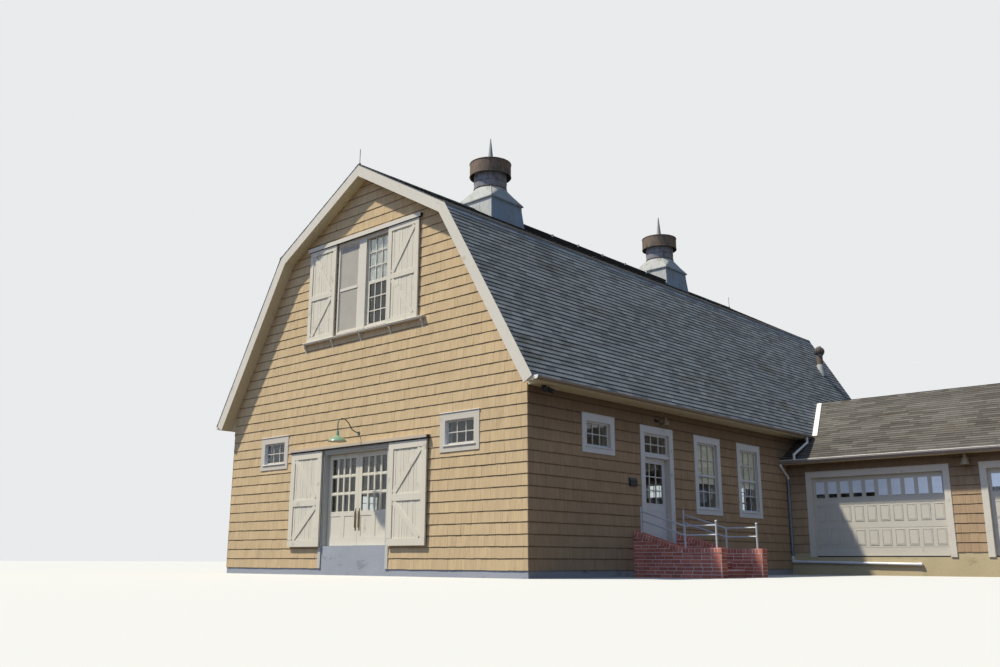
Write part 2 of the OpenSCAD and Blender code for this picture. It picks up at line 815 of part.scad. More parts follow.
module glazed_door_right_glass() {
    color("lightcyan", 0.4) at_right_jamb() leaf_pane(glazed_w, glazed_head_z, leaf_glass_z, leaf_stile);
}

side_jamb_t = 35;
side_leaf_w = side_door_w - 2 * side_jamb_t - leaf_gap;
side_leaf_head_z = side_transom_z - leaf_gap;

// Puts pieces drawn from the side doorway's hinge edge, which is its far edge, on the right wall
module at_side_jamb() {
    translate([half_w, side_y1 - side_jamb_t, 0]) rotate([0, 0, 90]) mirror([1, 0, 0]) children();
}

// Casing, lining, transom bar and transom sash of the side doorway
module side_door_frame() {
    h = side_head_z - floor_z;
    mid_z = (side_head_z + floor_z) / 2;
    bar_top = side_transom_z + side_transom_h;
    light_h = side_head_z - side_jamb_t - bar_top;
    color("gainsboro") {
        translate([half_w, front_y + side_door_y, 0]) rotate([0, 0, 90]) {
            difference() {
                block([-side_door_w / 2 - casing_w, -casing_out, floor_z],
                      [side_door_w / 2 + casing_w, 0, side_head_z + casing_w]);
                block([-side_door_w / 2, -over - casing_out, floor_z - over],
                      [side_door_w / 2, over, side_head_z]);
            }
            difference() {
                block([-side_door_w / 2, -casing_out, floor_z], [side_door_w / 2, wall_t, side_head_z]);
                block([-side_door_w / 2 + side_jamb_t, -over - casing_out, floor_z - over],
                      [side_door_w / 2 - side_jamb_t, wall_t + over, side_head_z - side_jamb_t]);
            }
            block([-side_door_w / 2 + side_jamb_t, 0, side_transom_z],
                  [side_door_w / 2 - side_jamb_t, wall_t, bar_top]);
            translate([0, 0, bar_top + light_h / 2])
                ring(side_door_w - 2 * side_jamb_t, light_h, sash_w, sash_set, sash_set + sash_t);
        }
        for (z = hinge_levels) at_side_jamb() {
            translate([0, hinge_y, 0]) knuckles(floor_z + z, true);
            for (i = [0, 2, 4])
                translate([-20, wall_t, floor_z + z + i * 24]) cube([20, hinge_y - wall_t, 24 - seat_gap]);
        }
    }
}

module side_door() {
    color("gainsboro") at_side_jamb()
        hinged_leaf(side_leaf_w, leaf_foot_z, side_leaf_head_z, side_glass_z, leaf_stile);
}

module side_door_glass() {
    color("lightcyan", 0.4) at_side_jamb() leaf_pane(side_leaf_w, side_leaf_head_z, side_glass_z, leaf_stile);
}

module window_frames() {
    color("gainsboro") {
        for (w = front_windows) on_front(w) window_frame(w);
        for (w = right_windows) on_right(w) window_frame(w);
        for (w = left_windows) on_left(w) window_frame(w);
        for (w = back_windows) on_back(w) window_frame(w);
        for (w = wing_end_windows) on_wing_end(w) window_frame(w);
        for (w = wing_back_windows) on_back(w) window_frame(w);
    }
}

// Panes of all fixed windows, of the side door's transom, the loft windows and the garage doors
module window_glass() {
    transom_z = side_transom_z + side_transom_h;
    transom_h = side_head_z - side_jamb_t - transom_z;
    mid = sash_set + (sash_t - pane_t) / 2;
    color("lightcyan", 0.4) {
        for (w = front_windows) on_front(w) window_pane(w);
        for (w = right_windows) on_right(w) window_pane(w);
        for (w = left_windows) on_left(w) window_pane(w);
        for (w = back_windows) on_back(w) window_pane(w);
        for (w = wing_end_windows) on_wing_end(w) window_pane(w);
        for (w = wing_back_windows) on_back(w) window_pane(w);
        translate([half_w, front_y + side_door_y, transom_z + transom_h / 2]) rotate([0, 0, 90])
            translate([-side_door_w / 2 + side_jamb_t + sash_w, mid, -transom_h / 2 + sash_w])
                cube([side_door_w - 2 * side_jamb_t - 2 * sash_w, pane_t, transom_h - 2 * sash_w]);
        for (s = [-1, 1])
            block([loft_mid_x + s * loft_centre - loft_window_w / 2 + loft_edge, front_y + mid, loft_sill_z + loft_edge],
                  [loft_mid_x + s * loft_centre + loft_window_w / 2 - loft_edge, front_y + mid + pane_t,
                   loft_head_z - loft_edge]);
        each_garage_door() garage_lights(garage_door_set + (garage_door_t - pane_t) / 2, pane_t);
    }
}

loft_centre = (loft_window_w + loft_post_w) / 2;
loft_edge = sash_w + 15;

// Two sashes with a wide post between them, in the loft opening
module loft_window_frame() {
    mid_z = (loft_sill_z + loft_head_z) / 2;
    h = loft_head_z - loft_sill_z;
    color("gainsboro") translate([loft_mid_x, front_y, mid_z]) {
        for (s = [-1, 1]) translate([s * loft_centre, 0, 0]) {
            ring(loft_window_w, h, loft_edge, sash_set, sash_set + sash_t);
        }
        translate([-loft_post_w / 2, -20, -h / 2]) cube([loft_post_w, wall_t, h]);
    }
}

// Two boarded shutters that hang from the loft track, fixed open
module loft_shutters() {
    color("whitesmoke") for (s = [-1, 1]) {
        x = loft_mid_x + (s > 0 ? shutter_x : -shutter_x - shutter_w);
        block([x, front_y - 30 - shutter_t, loft_sill_z - 50], [x + shutter_w, front_y - 30, loft_head_z + 25]);
    }
}

// Shelf on small brackets under the loft shutters
module loft_shelf() {
    top = loft_sill_z - 50;
    step = (shelf_l - 100) / (bracket_count - 1);
    color("gainsboro") translate([shelf_mid_x, 0, 0]) {
        block([-shelf_l / 2, front_y - shelf_d, top - shelf_t], [shelf_l / 2, front_y, top]);
        for (i = [0:bracket_count - 1])
            along_x(-shelf_l / 2 + i * step, -shelf_l / 2 + 40 + i * step)
                polygon([[front_y, top - shelf_t], [front_y - shelf_d * 0.8, top - shelf_t],
                         [front_y - shelf_d * 0.8, top - shelf_t - 50], [front_y - shelf_d * 0.3, top - shelf_t - 120],
                         [front_y, top - shelf_t - bracket_h]]);
    }
}

// Landing and treads between the stair's side walls
module entry_steps() {
    color("firebrick") {
        block([half_w, stair_mid_y - stair_clear / 2, 0],
              [half_w + landing_d, stair_mid_y + stair_clear / 2, floor_z - riser]);
        for (i = [2:stair_risers - 1])
            block([half_w + landing_d + (i - 2) * tread_d - 1, stair_mid_y - stair_clear / 2, 0],
                  [half_w + landing_d + (i - 1) * tread_d, stair_mid_y + stair_clear / 2, floor_z - i * riser]);
    }
}

// Side outline of a stair wall's top, down to the level below its brick cap
module stair_top() {
    polygon([[half_w, stair_high_z - stair_cap_h], [half_w + stair_slope_l, stair_low_z - stair_cap_h],
             [half_w + stair_l + stair_cap_out, stair_low_z - stair_cap_h],
             [half_w + stair_l + stair_cap_out, stair_low_z], [half_w + stair_slope_l, stair_low_z],
             [half_w, stair_high_z]]);
}

// A side wall of the stair with its cap, which stands out on the -Y side
module stair_wall() {
    along_y(0, stair_wall_t)
        polygon([[half_w, 0], [half_w + stair_l, 0], [half_w + stair_l, stair_low_z - stair_cap_h],
                 [half_w + stair_slope_l, stair_low_z - stair_cap_h], [half_w, stair_high_z - stair_cap_h]]);
    along_y(-stair_cap_out, stair_wall_t) stair_top();
}

module stair_walls() {
    color("firebrick") {
        translate([0, stair_mid_y + stair_clear / 2, 0]) translate([0, stair_wall_t, 0]) mirror([0, 1, 0])
            stair_wall();
        translate([0, stair_mid_y - stair_clear / 2 - stair_wall_t, 0]) stair_wall();
    }
}

// Pipe rails on both side walls, sloping and then flat; the posts' feet are cut to the walls' tops
module stair_rails() {
    x0 = half_w + rail_inset;
    x1 = half_w + stair_slope_l;
    x2 = half_w + stair_l - rail_inset;
    slope = (stair_high_z - stair_low_z) / stair_slope_l;
    function top_z(x) = x < x1 ? stair_high_z - (x - half_w) * slope : stair_low_z;
    color("white") for (s = [-1, 1]) translate([0, stair_mid_y + s * (stair_clear + stair_wall_t) / 2, 0]) {
        difference() {
            for (x = [x0, x1, x2])
                translate([x, 0, top_z(x) - post_r])
                    cylinder(r = post_r, h = post_r + rail_h + (x == x0 ? 110 : x == x2 ? 60 : 0));
            translate([0, -stair_wall_t / 2, seat_gap]) along_y(0, stair_wall_t) stair_top();
        }
        translate([x1, 0, stair_low_z + rail_h]) sphere(r = rail_r * 1.4);
        for (d = [0, 0.42]) {
            z = rail_h * (1 - d);
            bar([x0, 0, top_z(x0) + z], [x1, 0, top_z(x1) + z], rail_r);
            bar([x1, 0, top_z(x1) + z], [x2, 0, top_z(x2) + z], rail_r);
        }
        translate([x2, 0, stair_low_z + rail_h + 60 + 18]) sphere(r = 30);
    }
}

// Pipe arm that loops up and out from its wall plate, and a shallow shade
module door_lamp() {
    // The arm's path, as [distance out, height above the plate]
    path = [[14, 8], [0.2 * lamp_out, 30], [0.36 * lamp_out, 78], [0.52 * lamp_out, 215], [0.68 * lamp_out, 290],
            [0.82 * lamp_out, 300], [0.94 * lamp_out, 265], [lamp_out, 180], [lamp_out, lamp_drop + 225]];
    color("darkseagreen") translate([door_mid_x + lamp_x, front_y, lamp_z]) {
        rotate([90, 0, 0]) cylinder(r = 50, h = 20);
        for (i = [0:len(path) - 2])
            bar([0, -path[i][0], path[i][1]], [0, -path[i + 1][0], path[i + 1][1]], lamp_pipe_r);
        for (i = [1:len(path) - 2])
            translate([0, -path[i][0], path[i][1]]) sphere(r = lamp_pipe_r * 1.25);
        translate([0, -lamp_out, lamp_drop]) rotate_extrude()
            polygon([[0, 240], [30, 235], [36, 130], [90, 100], [lamp_r * 0.8, 50], [lamp_r, 0], [lamp_r - 8, 0],
                     [lamp_r * 0.8 - 8, 42], [82, 88], [0, 110]]);
    }
}

// A bell-shaped wall lamp on a short arm, drawn at a wall
module bell_lamp() {
    rotate([90, 0, 0]) cylinder(r = 45, h = 15);
    bar([0, -8, 2], [0, -130, 40], 11);
    translate([0, -130, 0]) rotate_extrude()
        polygon([[0, 75], [22, 70], [26, 30], [55, 0], [bell_r, -110], [bell_r - 6, -110], [48, -8], [0, 20]]);
}

module wall_lamps() {
    color("darkgray") {
        translate([half_w, front_y + side_door_y + 240, side_head_z + casing_w + 170]) rotate([0, 0, 90]) bell_lamp();
        for (i = [1:bay_count])
            translate([half_w + wing_end_w + i * bay_w + (i == bay_count ? -bay_pier : pier_lamp_x), wing_front_y,
                       garage_head_z + 245]) scale([pier_lamp, pier_lamp, pier_lamp * 1.15]) bell_lamp();
    }
}

bay_pier = (bay_w - garage_w) / 4;

// Places a piece drawn around a garage doorway's middle, with its outside towards -Y
module each_garage_door() {
    for (i = [0:bay_count - 1])
        translate([half_w + wing_end_w + (i + 0.5) * bay_w, wing_front_y, 0]) children();
}

module wing_foundation() {
    color("darkkhaki") difference() {
        block([half_w, wing_front_y, 0], [wing_x1, back_y, wing_base_top]);
        block([half_w - over, wing_front_y + wall_t, garage_floor_z],
              [wing_x1 - wall_t, back_y - wall_t, wing_base_top + over]);
        each_garage_door() block([-garage_w / 2, -over, garage_floor_z], [garage_w / 2, wall_t + over, wing_base_top + over]);
    }
}

module wing_front_wall() {
    color("tan") difference() {
        block([half_w, wing_front_y, wing_base_top], [wing_x1 - wall_t, wing_front_y + wall_t, wing_plate_z]);
        each_garage_door() block([-garage_w / 2, -over, 0], [garage_w / 2, wall_t + over, garage_head_z]);
    }
}

module wing_end_wall() {
    color("tan") difference() {
        along_x(wing_x1 - wall_t, wing_x1)
            polygon([[wing_front_y, wing_base_top], [back_y, wing_base_top], [back_y, wing_plate_z],
                     [back_y - wall_t, wing_plate_z], [back_y - wall_t, wing_inner_z(wing_half - wall_t)],
                     [wing_ridge_y, wing_inner_z(0)],
                     [wing_front_y + wall_t, wing_inner_z(wing_half - wall_t)],
                     [wing_front_y + wall_t, wing_plate_z], [wing_front_y, wing_plate_z]]);
        for (w = wing_end_windows) on_wing_end(w) window_hole(w);
    }
}

module wing_back_wall() {
    color("tan") difference() {
        block([half_w, back_y - wall_t, wing_base_top], [wing_x1 - wall_t, back_y, wing_plate_z]);
        for (w = wing_back_windows) on_back(w) window_hole(w);
    }
}

// Front slope of the wing's roof, run up to the barn's roof and wall
module wing_slope_piece() {
    difference() {
        along_x(knee_x, wing_x1 + wing_verge_out)
            polygon([[wing_ridge_y, wing_ridge_z], [wing_front_y - wing_eave_out, wing_eave_z],
                     [wing_front_y - wing_eave_out, wing_plate_z], [wing_front_y + wall_t, wing_plate_z],
                     [wing_front_y + wall_t, wing_inner_z(wing_half - wall_t)],
                     [wing_ridge_y, wing_inner_z(0)]]);
        along_y(front_y, back_y + verge_out) barn_outline();
    }
}

module wing_roof_front() {
    color("gray") wing_slope_piece();
}

module wing_roof_back() {
    color("gray") difference() {
        translate([0, 2 * wing_ridge_y, 0]) mirror([0, 1, 0]) wing_slope_piece();
        along_y(back_y + verge_out - over, back_y + verge_out + rake_t + wing_eave_out) barn_outline();
    }
}

module garage_door_frames() {
    color("gainsboro") each_garage_door() {
        difference() {
            block([-garage_w / 2 - casing_w, -casing_out, garage_floor_z],
                  [garage_w / 2 + casing_w, 0, garage_head_z + casing_w]);
            block([-garage_w / 2, -over - casing_out, garage_floor_z - over], [garage_w / 2, over, garage_head_z]);
        }
        difference() {
            block([-garage_w / 2, -casing_out, garage_floor_z], [garage_w / 2, garage_door_set, garage_head_z]);
            block([-garage_w / 2 + 25, -over - casing_out, garage_floor_z - over],
                  [garage_w / 2 - 25, garage_door_set + over, garage_head_z - 25]);
        }
    }
}

// The lights in a garage door's top row, as blocks from depth y0
module garage_lights(y0, t) {
    pitch = (garage_w - 100) / light_count;
    for (i = [0:light_count - 1])
        translate([-garage_w / 2 + 50 + (i + 0.5) * pitch - light_w / 2, y0,
                   garage_head_z - light_head_in - light_h])
            cube([light_w, t, light_h]);
}

module garage_doors() {
    color("gainsboro") each_garage_door() difference() {
        block([-garage_w / 2, garage_door_set, garage_floor_z],
              [garage_w / 2, garage_door_set + garage_door_t, garage_head_z]);
        garage_lights(garage_door_set - over, garage_door_t + 2 * over);
    }
}

// An open gutter outline, with its back at y = 0 and its lip towards -Y
module gutter_outline(t = 8) {
    difference() {
        polygon([[0, 0], [-gutter_w * 0.7, 0], [-gutter_w, gutter_h * 0.6], [-gutter_w, gutter_h], [0, gutter_h]]);
        polygon([[-t, t], [-gutter_w * 0.7 + t / 2, t], [-gutter_w + t, gutter_h * 0.6 + t / 4],
                 [-gutter_w + t, gutter_h + over], [-t, gutter_h + over]]);
    }
}

// The lower half of a disc
module half_disc(r) {
    intersection() {
        circle(r = r);
        translate([-r, -r]) square([2 * r, r]);
    }
}

// A half-round gutter with closed ends along Y, its lip at Z = 0 and its back at X = 0
module round_gutter(y0, y1, t = 8) {
    r = barn_gutter_r;
    translate([r, 0, 0]) {
        along_y(y0, y1) difference() {
            half_disc(r);
            circle(r = r - t);
        }
        along_y(y0, y0 + t) half_disc(r);
        along_y(y1 - t, y1) half_disc(r);
    }
    block([0, y0, -r / 2], [t, y1, 0]);
}

// The right gutter of the barn stops where the wing's roof meets the eave
barn_gutter_z = eave_z - 20;
stop_y = wing_front_y - wing_eave_out + (barn_gutter_z - barn_gutter_r - 10 - wing_eave_z) / tan(wing_slope);
outlet_y = stop_y - 370;
outlet_h = 14;

// Gutters of the wing and of both barn eaves
module gutters() {
    color("silver") {
        translate([0, wing_front_y - wing_eave_out, wing_eave_z - gutter_h - 10])
            along_x(half_w + 30, wing_x1 + wing_verge_out) gutter_outline();
        translate([eave_x, 0, barn_gutter_z]) {
            round_gutter(front_y - verge_out, stop_y);
            translate([barn_gutter_r, outlet_y, -barn_gutter_r - outlet_h]) cylinder(r = pipe_r, h = outlet_h + 6);
        }
        mirror([1, 0, 0]) translate([eave_x, 0, barn_gutter_z]) round_gutter(front_y - verge_out, back_y + verge_out);
    }
}

// Level of the wing's front roof face at a place along Y
function wing_roof_z(y) = wing_eave_z + (y - wing_front_y + wing_eave_out) * tan(wing_slope);

// A pipe along a list of points, with an elbow at each bend
module pipe_run(p, r) {
    for (i = [0:len(p) - 2]) bar(p[i], p[i + 1], r);
    for (i = [1:len(p) - 2]) translate(p[i]) sphere(r = r * 1.12);
}

// Downpipe from the wing's gutter with its long shoe, and the pipe between the two gutters
module downpipes() {
    x = half_w + 60;
    y = wing_front_y - pipe_r * 1.2;
    gutter_foot = wing_eave_z - gutter_h - 10;
    out_y = wing_front_y - wing_eave_out - gutter_w / 2;
    foot_z = base_top + shoe_rise;
    upper_x = eave_x + barn_gutter_r;
    rise = pipe_r + 30;
    color("silver") {
        pipe_run([[x, out_y, gutter_foot - seat_gap], [x, out_y, gutter_foot - 60], [x, y, gutter_foot - swan_neck_h],
                  [x, y, foot_z], [x + shoe_l, y, foot_z - 60]], pipe_r);
        pipe_run([[upper_x, outlet_y, barn_gutter_z - barn_gutter_r - outlet_h - seat_gap],
                  [upper_x, outlet_y, wing_roof_z(outlet_y) + rise],
                  [upper_x, out_y, wing_eave_z + 135], [upper_x, out_y, wing_eave_z - 55]], pipe_r * 0.95);
    }
}

foundation();
ground_floor();
loft_floor();
door_sills();
front_wall_left();
front_wall_right();
front_gable();
left_wall();
right_wall_front();
right_wall_over_door();
right_wall_back();
back_wall();
roof_lower_left();
roof_lower_right();
roof_upper_left();
roof_upper_right();
rake_boards();
ventilator_bases();
ventilator_bands();
solar_panels();
chimney_stack();
door_track();
sliding_door_left();
sliding_door_right();
front_door_frame();
glazed_door_left();
glazed_door_right();
glazed_door_left_glass();
glazed_door_right_glass();
side_door_frame();
side_door();
side_door_glass();
window_frames();
window_glass();
loft_window_frame();
loft_shutters();
loft_shelf();
entry_steps();
stair_walls();
stair_rails();
door_lamp();
wall_lamps();
wing_foundation();
wing_front_wall();
wing_end_wall();
wing_back_wall();
wing_roof_front();
wing_roof_back();
garage_door_frames();
garage_doors();
gutters();
downpipes();
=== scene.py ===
"""Looks of a gambrel barn with a garage wing: shingles, roofing, joinery, sheet metal, brick and concrete.

Every length is in metres. A wall's own frame has X along the wall as seen from outside, Z up and -Y outwards.
"""

import logging
import math
from dataclasses import dataclass, field, replace
from enum import Enum

import bmesh
import bpy
from mathutils import Matrix, Vector


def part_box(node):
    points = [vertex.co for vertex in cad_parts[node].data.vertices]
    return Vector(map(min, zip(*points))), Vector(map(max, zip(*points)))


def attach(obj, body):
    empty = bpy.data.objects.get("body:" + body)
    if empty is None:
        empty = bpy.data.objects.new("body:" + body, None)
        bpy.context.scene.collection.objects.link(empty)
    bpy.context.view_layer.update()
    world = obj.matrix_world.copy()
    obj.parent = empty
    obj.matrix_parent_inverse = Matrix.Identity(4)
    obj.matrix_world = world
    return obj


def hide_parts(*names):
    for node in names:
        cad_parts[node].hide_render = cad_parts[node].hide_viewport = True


LOG = logging.getLogger("barn")
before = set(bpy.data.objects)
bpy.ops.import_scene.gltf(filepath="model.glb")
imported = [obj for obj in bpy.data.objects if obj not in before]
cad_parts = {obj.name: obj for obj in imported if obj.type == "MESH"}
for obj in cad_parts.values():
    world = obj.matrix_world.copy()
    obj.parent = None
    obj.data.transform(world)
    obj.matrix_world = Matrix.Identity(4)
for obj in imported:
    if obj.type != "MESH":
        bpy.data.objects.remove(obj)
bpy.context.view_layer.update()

Point = tuple[float, float, float]
Outline = list[tuple[float, float]]
Clip = tuple[Point, Point]
Box = tuple[Vector, Vector]
Run = tuple[float, float, float, float]
Object, Node, NodeTree, Socket = bpy.types.Object, bpy.types.Node, bpy.types.NodeTree, bpy.types.NodeSocket

MATH = "ShaderNodeMath"
MM = 1000.0  # millimetres in a metre
BLACK, WHITE = (0, 0, 0, 1), (1, 1, 1, 1)
SINK = 0.001  # how far boards are let into what they lie on
REBATE = 0.0185  # from the outer face of a sash or a glazed door back to its glass


def linear(colour: str) -> tuple[float, float, float, float]:
    """Turns an sRGB hex colour to linear values.

    Args:
        colour: The colour as #RRGGBB.

    Returns:
        Linear red, green, blue and an alpha of 1.
    """
    parts = [int(colour[i:i + 2], 16) / 255 for i in (1, 3, 5)]
    return (*[p / 12.92 if p <= 0.04045 else ((p + 0.055) / 1.055) ** 2.4 for p in parts], 1.0)


def placed(name: str, data: bpy.types.ID) -> Object:
    """Makes an object of new data and puts it in the scene."""
    obj = bpy.data.objects.new(name, data)
    bpy.context.scene.collection.objects.link(obj)
    return obj


def emptied(owner: bpy.types.ID) -> NodeTree:
    """Gives the node tree of a material or a world, with nothing in it."""
    owner.use_nodes = True
    owner.node_tree.nodes.clear()
    return owner.node_tree


def add(tree: NodeTree, kind: str, inputs: dict | tuple = (), **settings: object) -> Node:
    """Adds a node with its settings and links.

    Args:
        tree: The tree that gets the node.
        kind: The node's type.
        inputs: Values, sockets to link, or nodes whose first output is linked; in order, or by name or number.
        settings: The node's own properties.

    Returns:
        The new node.
    """
    node = tree.nodes.new(kind)
    for key, value in settings.items():
        setattr(node, key, value)
    for key, value in (inputs if isinstance(inputs, dict) else dict(enumerate(inputs))).items():
        value = value.outputs[0] if isinstance(value, Node) else value
        if isinstance(value, Socket):
            tree.links.new(value, node.inputs[key])
        else:
            node.inputs[key].default_value = value
    return node


class Pattern(Enum):
    """The fine pattern of a finish."""

    GRAIN = "noise drawn out along the grain"
    GRANULES = "small cells, each with its own tone"
    CELLS = "a square grid of thin lines"


@dataclass(frozen=True)
class Finish:
    """A surface finish, named for what the real one is and for any light or shade painted into it."""

    name: str
    slot: str
    colour: str
    other: str
    grain: Point = (8.0, 8.0, 8.0)  # size of the fine pattern along X, Y and Z, in millimetres
    slow: float = 900.0  # size of the slow changes of tone, in millimetres
    share: float = 0.5  # how far the fine pattern goes to the other colour
    wander: float = 0.12  # how far the slow changes move the brightness
    tone: float = 0.0  # how far the brightness differs from piece to piece
    roughness: float = 0.7
    metallic: float = 0.0
    bump: float = 0.4  # height of the fine pattern, in millimetres
    lap: float = 0.0  # bare height of a course in metres, where the finish is laid in courses
    lap_dark: float = 0.0  # how far the painted shade under each lap, and the sawn lower edge, darken
    lap_band: float = 0.03  # height of that line, in metres
    sawn: float = 0.006  # height of the sawn lower edge, in metres
    eave: float = 0.0  # level in metres of the eave, under which the wall is darkened as painted shade
    eave_shade: float = 1.1  # height of that painted shade under it, in metres
    turned: str = ""  # colour of the faces that look one way: painted light and shade
    way: Point = (0.0, 0.0, 0.0)  # that way
    patina: str = ""  # colour of stains, where there are any
    stained: float = 0.0  # share of the surface that they cover
    stretch: Point = (1.0, 1.0, 1.0)  # how far the stains are drawn out
    pattern: Pattern = Pattern.GRAIN

    def fine(self, tree: NodeTree, coords: Socket) -> Socket:
        """Adds the fine pattern.

        Args:
            tree: The material's tree.
            coords: The object's coordinates.

        Returns:
            The socket that gives the pattern from 0 to 1.
        """
        mapped = add(tree, "ShaderNodeMapping", {"Vector": coords, "Scale": tuple(MM / g for g in self.grain)})
        if self.pattern is Pattern.GRANULES:
            return add(tree, "ShaderNodeTexVoronoi", {"Vector": mapped, "Scale": 1.0}).outputs["Color"]
        if self.pattern is Pattern.CELLS:
            return add(tree, "ShaderNodeTexBrick", {"Vector": mapped, "Color1": BLACK, "Color2": BLACK, "Mortar": WHITE,
                                                    "Scale": 1.0, "Mortar Size": 0.02, "Brick Width": 1.0,
                                                    "Row Height": 1.0}, offset=0.0).outputs["Color"]
        noise = add(tree, "ShaderNodeTexNoise", {"Vector": mapped, "Scale": 1.0, "Detail": 4.0, "Roughness": 0.6})
        # Nearly all of the noise lies between these two values
        return add(tree, "ShaderNodeMapRange", {"Value": noise.outputs["Fac"], "From Min": 0.32,
                                                "From Max": 0.68}).outputs[0]

    def stain(self, tree: NodeTree, coords: Socket, base: Socket) -> Socket:
        """Adds stains over a colour.

        Args:
            tree: The material's tree.
            coords: The object's coordinates.
            base: The colour under the stains.

        Returns:
            The stained colour.
        """
        scale = tuple(MM / (0.4 * self.slow * s) for s in self.stretch)
        mapped = add(tree, "ShaderNodeMapping", {"Vector": coords, "Scale": scale})
        noise = add(tree, "ShaderNodeTexNoise", {"Vector": mapped, "Scale": 1.0, "Detail": 6.0, "Roughness": 0.65})
        edge = 0.72 - 0.44 * self.stained  # the value above which about that share of the noise lies
        where = add(tree, "ShaderNodeMapRange", {"Value": noise.outputs["Fac"], "From Min": edge - 0.06,
                                                 "From Max": edge + 0.08, "To Max": 0.85})
        return add(tree, "ShaderNodeMix", {0: where, 6: base, 7: linear(self.patina)}, data_type="RGBA").outputs[2]

    def lap_shade_line(self, tree: NodeTree, bright: Node) -> Node:
        """Paints a line of shade where one course disappears under the next, and darkens the sawn lower edge.

        Args:
            tree: The material's tree.
            bright: The brightness elsewhere.

        Returns:
            The brightness with the dark lines.
        """
        # Painted shade under each lap, and a darker sawn lower edge
        rise = add(tree, "ShaderNodeAttribute", attribute_name="rise").outputs["Fac"]
        under = add(tree, "ShaderNodeMapRange", {"Value": rise, "From Min": self.lap - self.lap_band,
                                                 "From Max": self.lap - 0.4 * self.lap_band})
        butt = add(tree, "ShaderNodeMapRange", {"Value": rise, "From Min": 0.0, "From Max": self.sawn, "To Min": 1.0,
                                                "To Max": 0.0})
        dark = add(tree, MATH, (under, butt), operation="MAXIMUM")
        left = add(tree, MATH, (dark, -self.lap_dark, 1.0), operation="MULTIPLY_ADD")
        return add(tree, MATH, (bright, left), operation="MULTIPLY")

    def shader_inputs(self) -> dict[str, object]:
        """Gives the plain inputs of the shader."""
        return {"Metallic": self.metallic, "Roughness": self.roughness,
                "Specular IOR Level": 0.5 if self.roughness < 0.5 else 0.12}

    def colour_of(self, tree: NodeTree, coords: Socket, fine: Socket) -> Socket:
        """Adds the colour, with the painted light and shade of the faces that look one way, and the stains.

        Args:
            tree: The material's tree.
            coords: The object's coordinates.
            fine: The fine pattern.

        Returns:
            The colour, before its brightness is set.
        """
        part = add(tree, MATH, (fine, self.share), operation="MULTIPLY")
        colour = add(tree, "ShaderNodeMix", {0: part, 6: linear(self.colour), 7: linear(self.other)},
                     data_type="RGBA").outputs[2]
        # Painted light and shade: faces that look the given way get another colour
        if self.turned:
            normal = add(tree, "ShaderNodeTexCoord").outputs["Normal"]
            facing = add(tree, "ShaderNodeVectorMath", (normal, self.way), operation="DOT_PRODUCT").outputs["Value"]
            where = add(tree, "ShaderNodeMapRange", {"Value": facing, "From Min": 0.85, "From Max": 0.95})
            colour = add(tree, "ShaderNodeMix", {0: where, 6: colour, 7: linear(self.turned)},
                         data_type="RGBA").outputs[2]
        return self.stain(tree, coords, colour) if self.patina else colour

    def brightness(self, tree: NodeTree, coords: Socket) -> Node:
        """Adds the brightness: slow changes, each piece's own tone, painted shade under the laps and painted shade
        under an eave.

        Args:
            tree: The material's tree.
            coords: The object's coordinates.

        Returns:
            The node that gives it.
        """
        slow = add(tree, "ShaderNodeTexNoise", {"Vector": coords, "Scale": MM / self.slow, "Detail": 3.0})
        bright = add(tree, MATH, (slow.outputs["Fac"], 2 * self.wander, 1 - self.wander - self.tone / 2),
                     operation="MULTIPLY_ADD")
        if self.tone:
            own = add(tree, "ShaderNodeAttribute", attribute_name="tone").outputs["Fac"]
            bright = add(tree, MATH, (own, self.tone, bright), operation="MULTIPLY_ADD")
        if self.lap:
            bright = self.lap_shade_line(tree, bright)
        if self.eave:
            # Painted shade under the eave, darker towards it
            level = add(tree, "ShaderNodeSeparateXYZ", (coords,)).outputs["Z"]
            eave_shade = add(tree, "ShaderNodeMapRange", {"Value": level, "From Min": self.eave - self.eave_shade,
                                                    "From Max": self.eave, "To Min": 1.0, "To Max": 0.4})
            bright = add(tree, MATH, (bright, eave_shade), operation="MULTIPLY")
        return bright

    def like(self, name: str, colour: str, other: str, **changes: object) -> "Finish":
        """Gives the same finish under another name, in other colours."""
        return replace(self, name=name, colour=colour, other=other, **changes)

    def material(self) -> bpy.types.Material:
        """Makes the material, once.

        Returns:
            The material.
        """
        made = bpy.data.materials.get(self.name)
        if made:
            return made
        made = bpy.data.materials.new(self.name)
        tree = emptied(made)
        coords = add(tree, "ShaderNodeTexCoord").outputs["Object"]
        fine = self.fine(tree, coords)
        colour, bright = self.colour_of(tree, coords, fine), self.brightness(tree, coords)
        toned = add(tree, "ShaderNodeHueSaturation", {"Value": bright, "Color": colour})
        raised = add(tree, "ShaderNodeBump", {"Height": fine, "Strength": 0.7, "Distance": self.bump / MM})
        shader = add(tree, "ShaderNodeBsdfPrincipled", {"Base Color": toned, "Normal": raised, **self.shader_inputs()})
        add(tree, "ShaderNodeOutputMaterial", {"Surface": shader})
        return made


@dataclass(frozen=True)
class Clear(Finish):
    """Glass or fine netting: light goes through it."""

    through: float = 1.0
    cover: float = 1.0

    def shader_inputs(self) -> dict[str, object]:
        """Gives the plain inputs of the shader."""
        return {"Roughness": self.roughness, "IOR": 1.5, "Transmission Weight": self.through, "Alpha": self.cover}


# Sawn cedar under solid stain: raked grooves drawn as coarse as they need to show, each shingle with its own tone,
# painted shade under each course
SHINGLE = Finish("stained_cedar_shingle", "shingles", "#C8B08B", "#AB916E", (26, 26, 420), 1300, 0.5, 0.08, 0.1, 0.85,
                 bump=1.5, lap=0.232, lap_dark=0.45, patina="#A38F72", stained=0.14, stretch=(1, 1, 2.2))
# The right wall's shingles: a darker copy as painted shade, and painted shade under the eave
SIDE_SHINGLE_PAINTED_SHADE = SHINGLE.like("stained_side_shingle_painted_shade", "#AE967B", "#8F785F", eave=3.8)
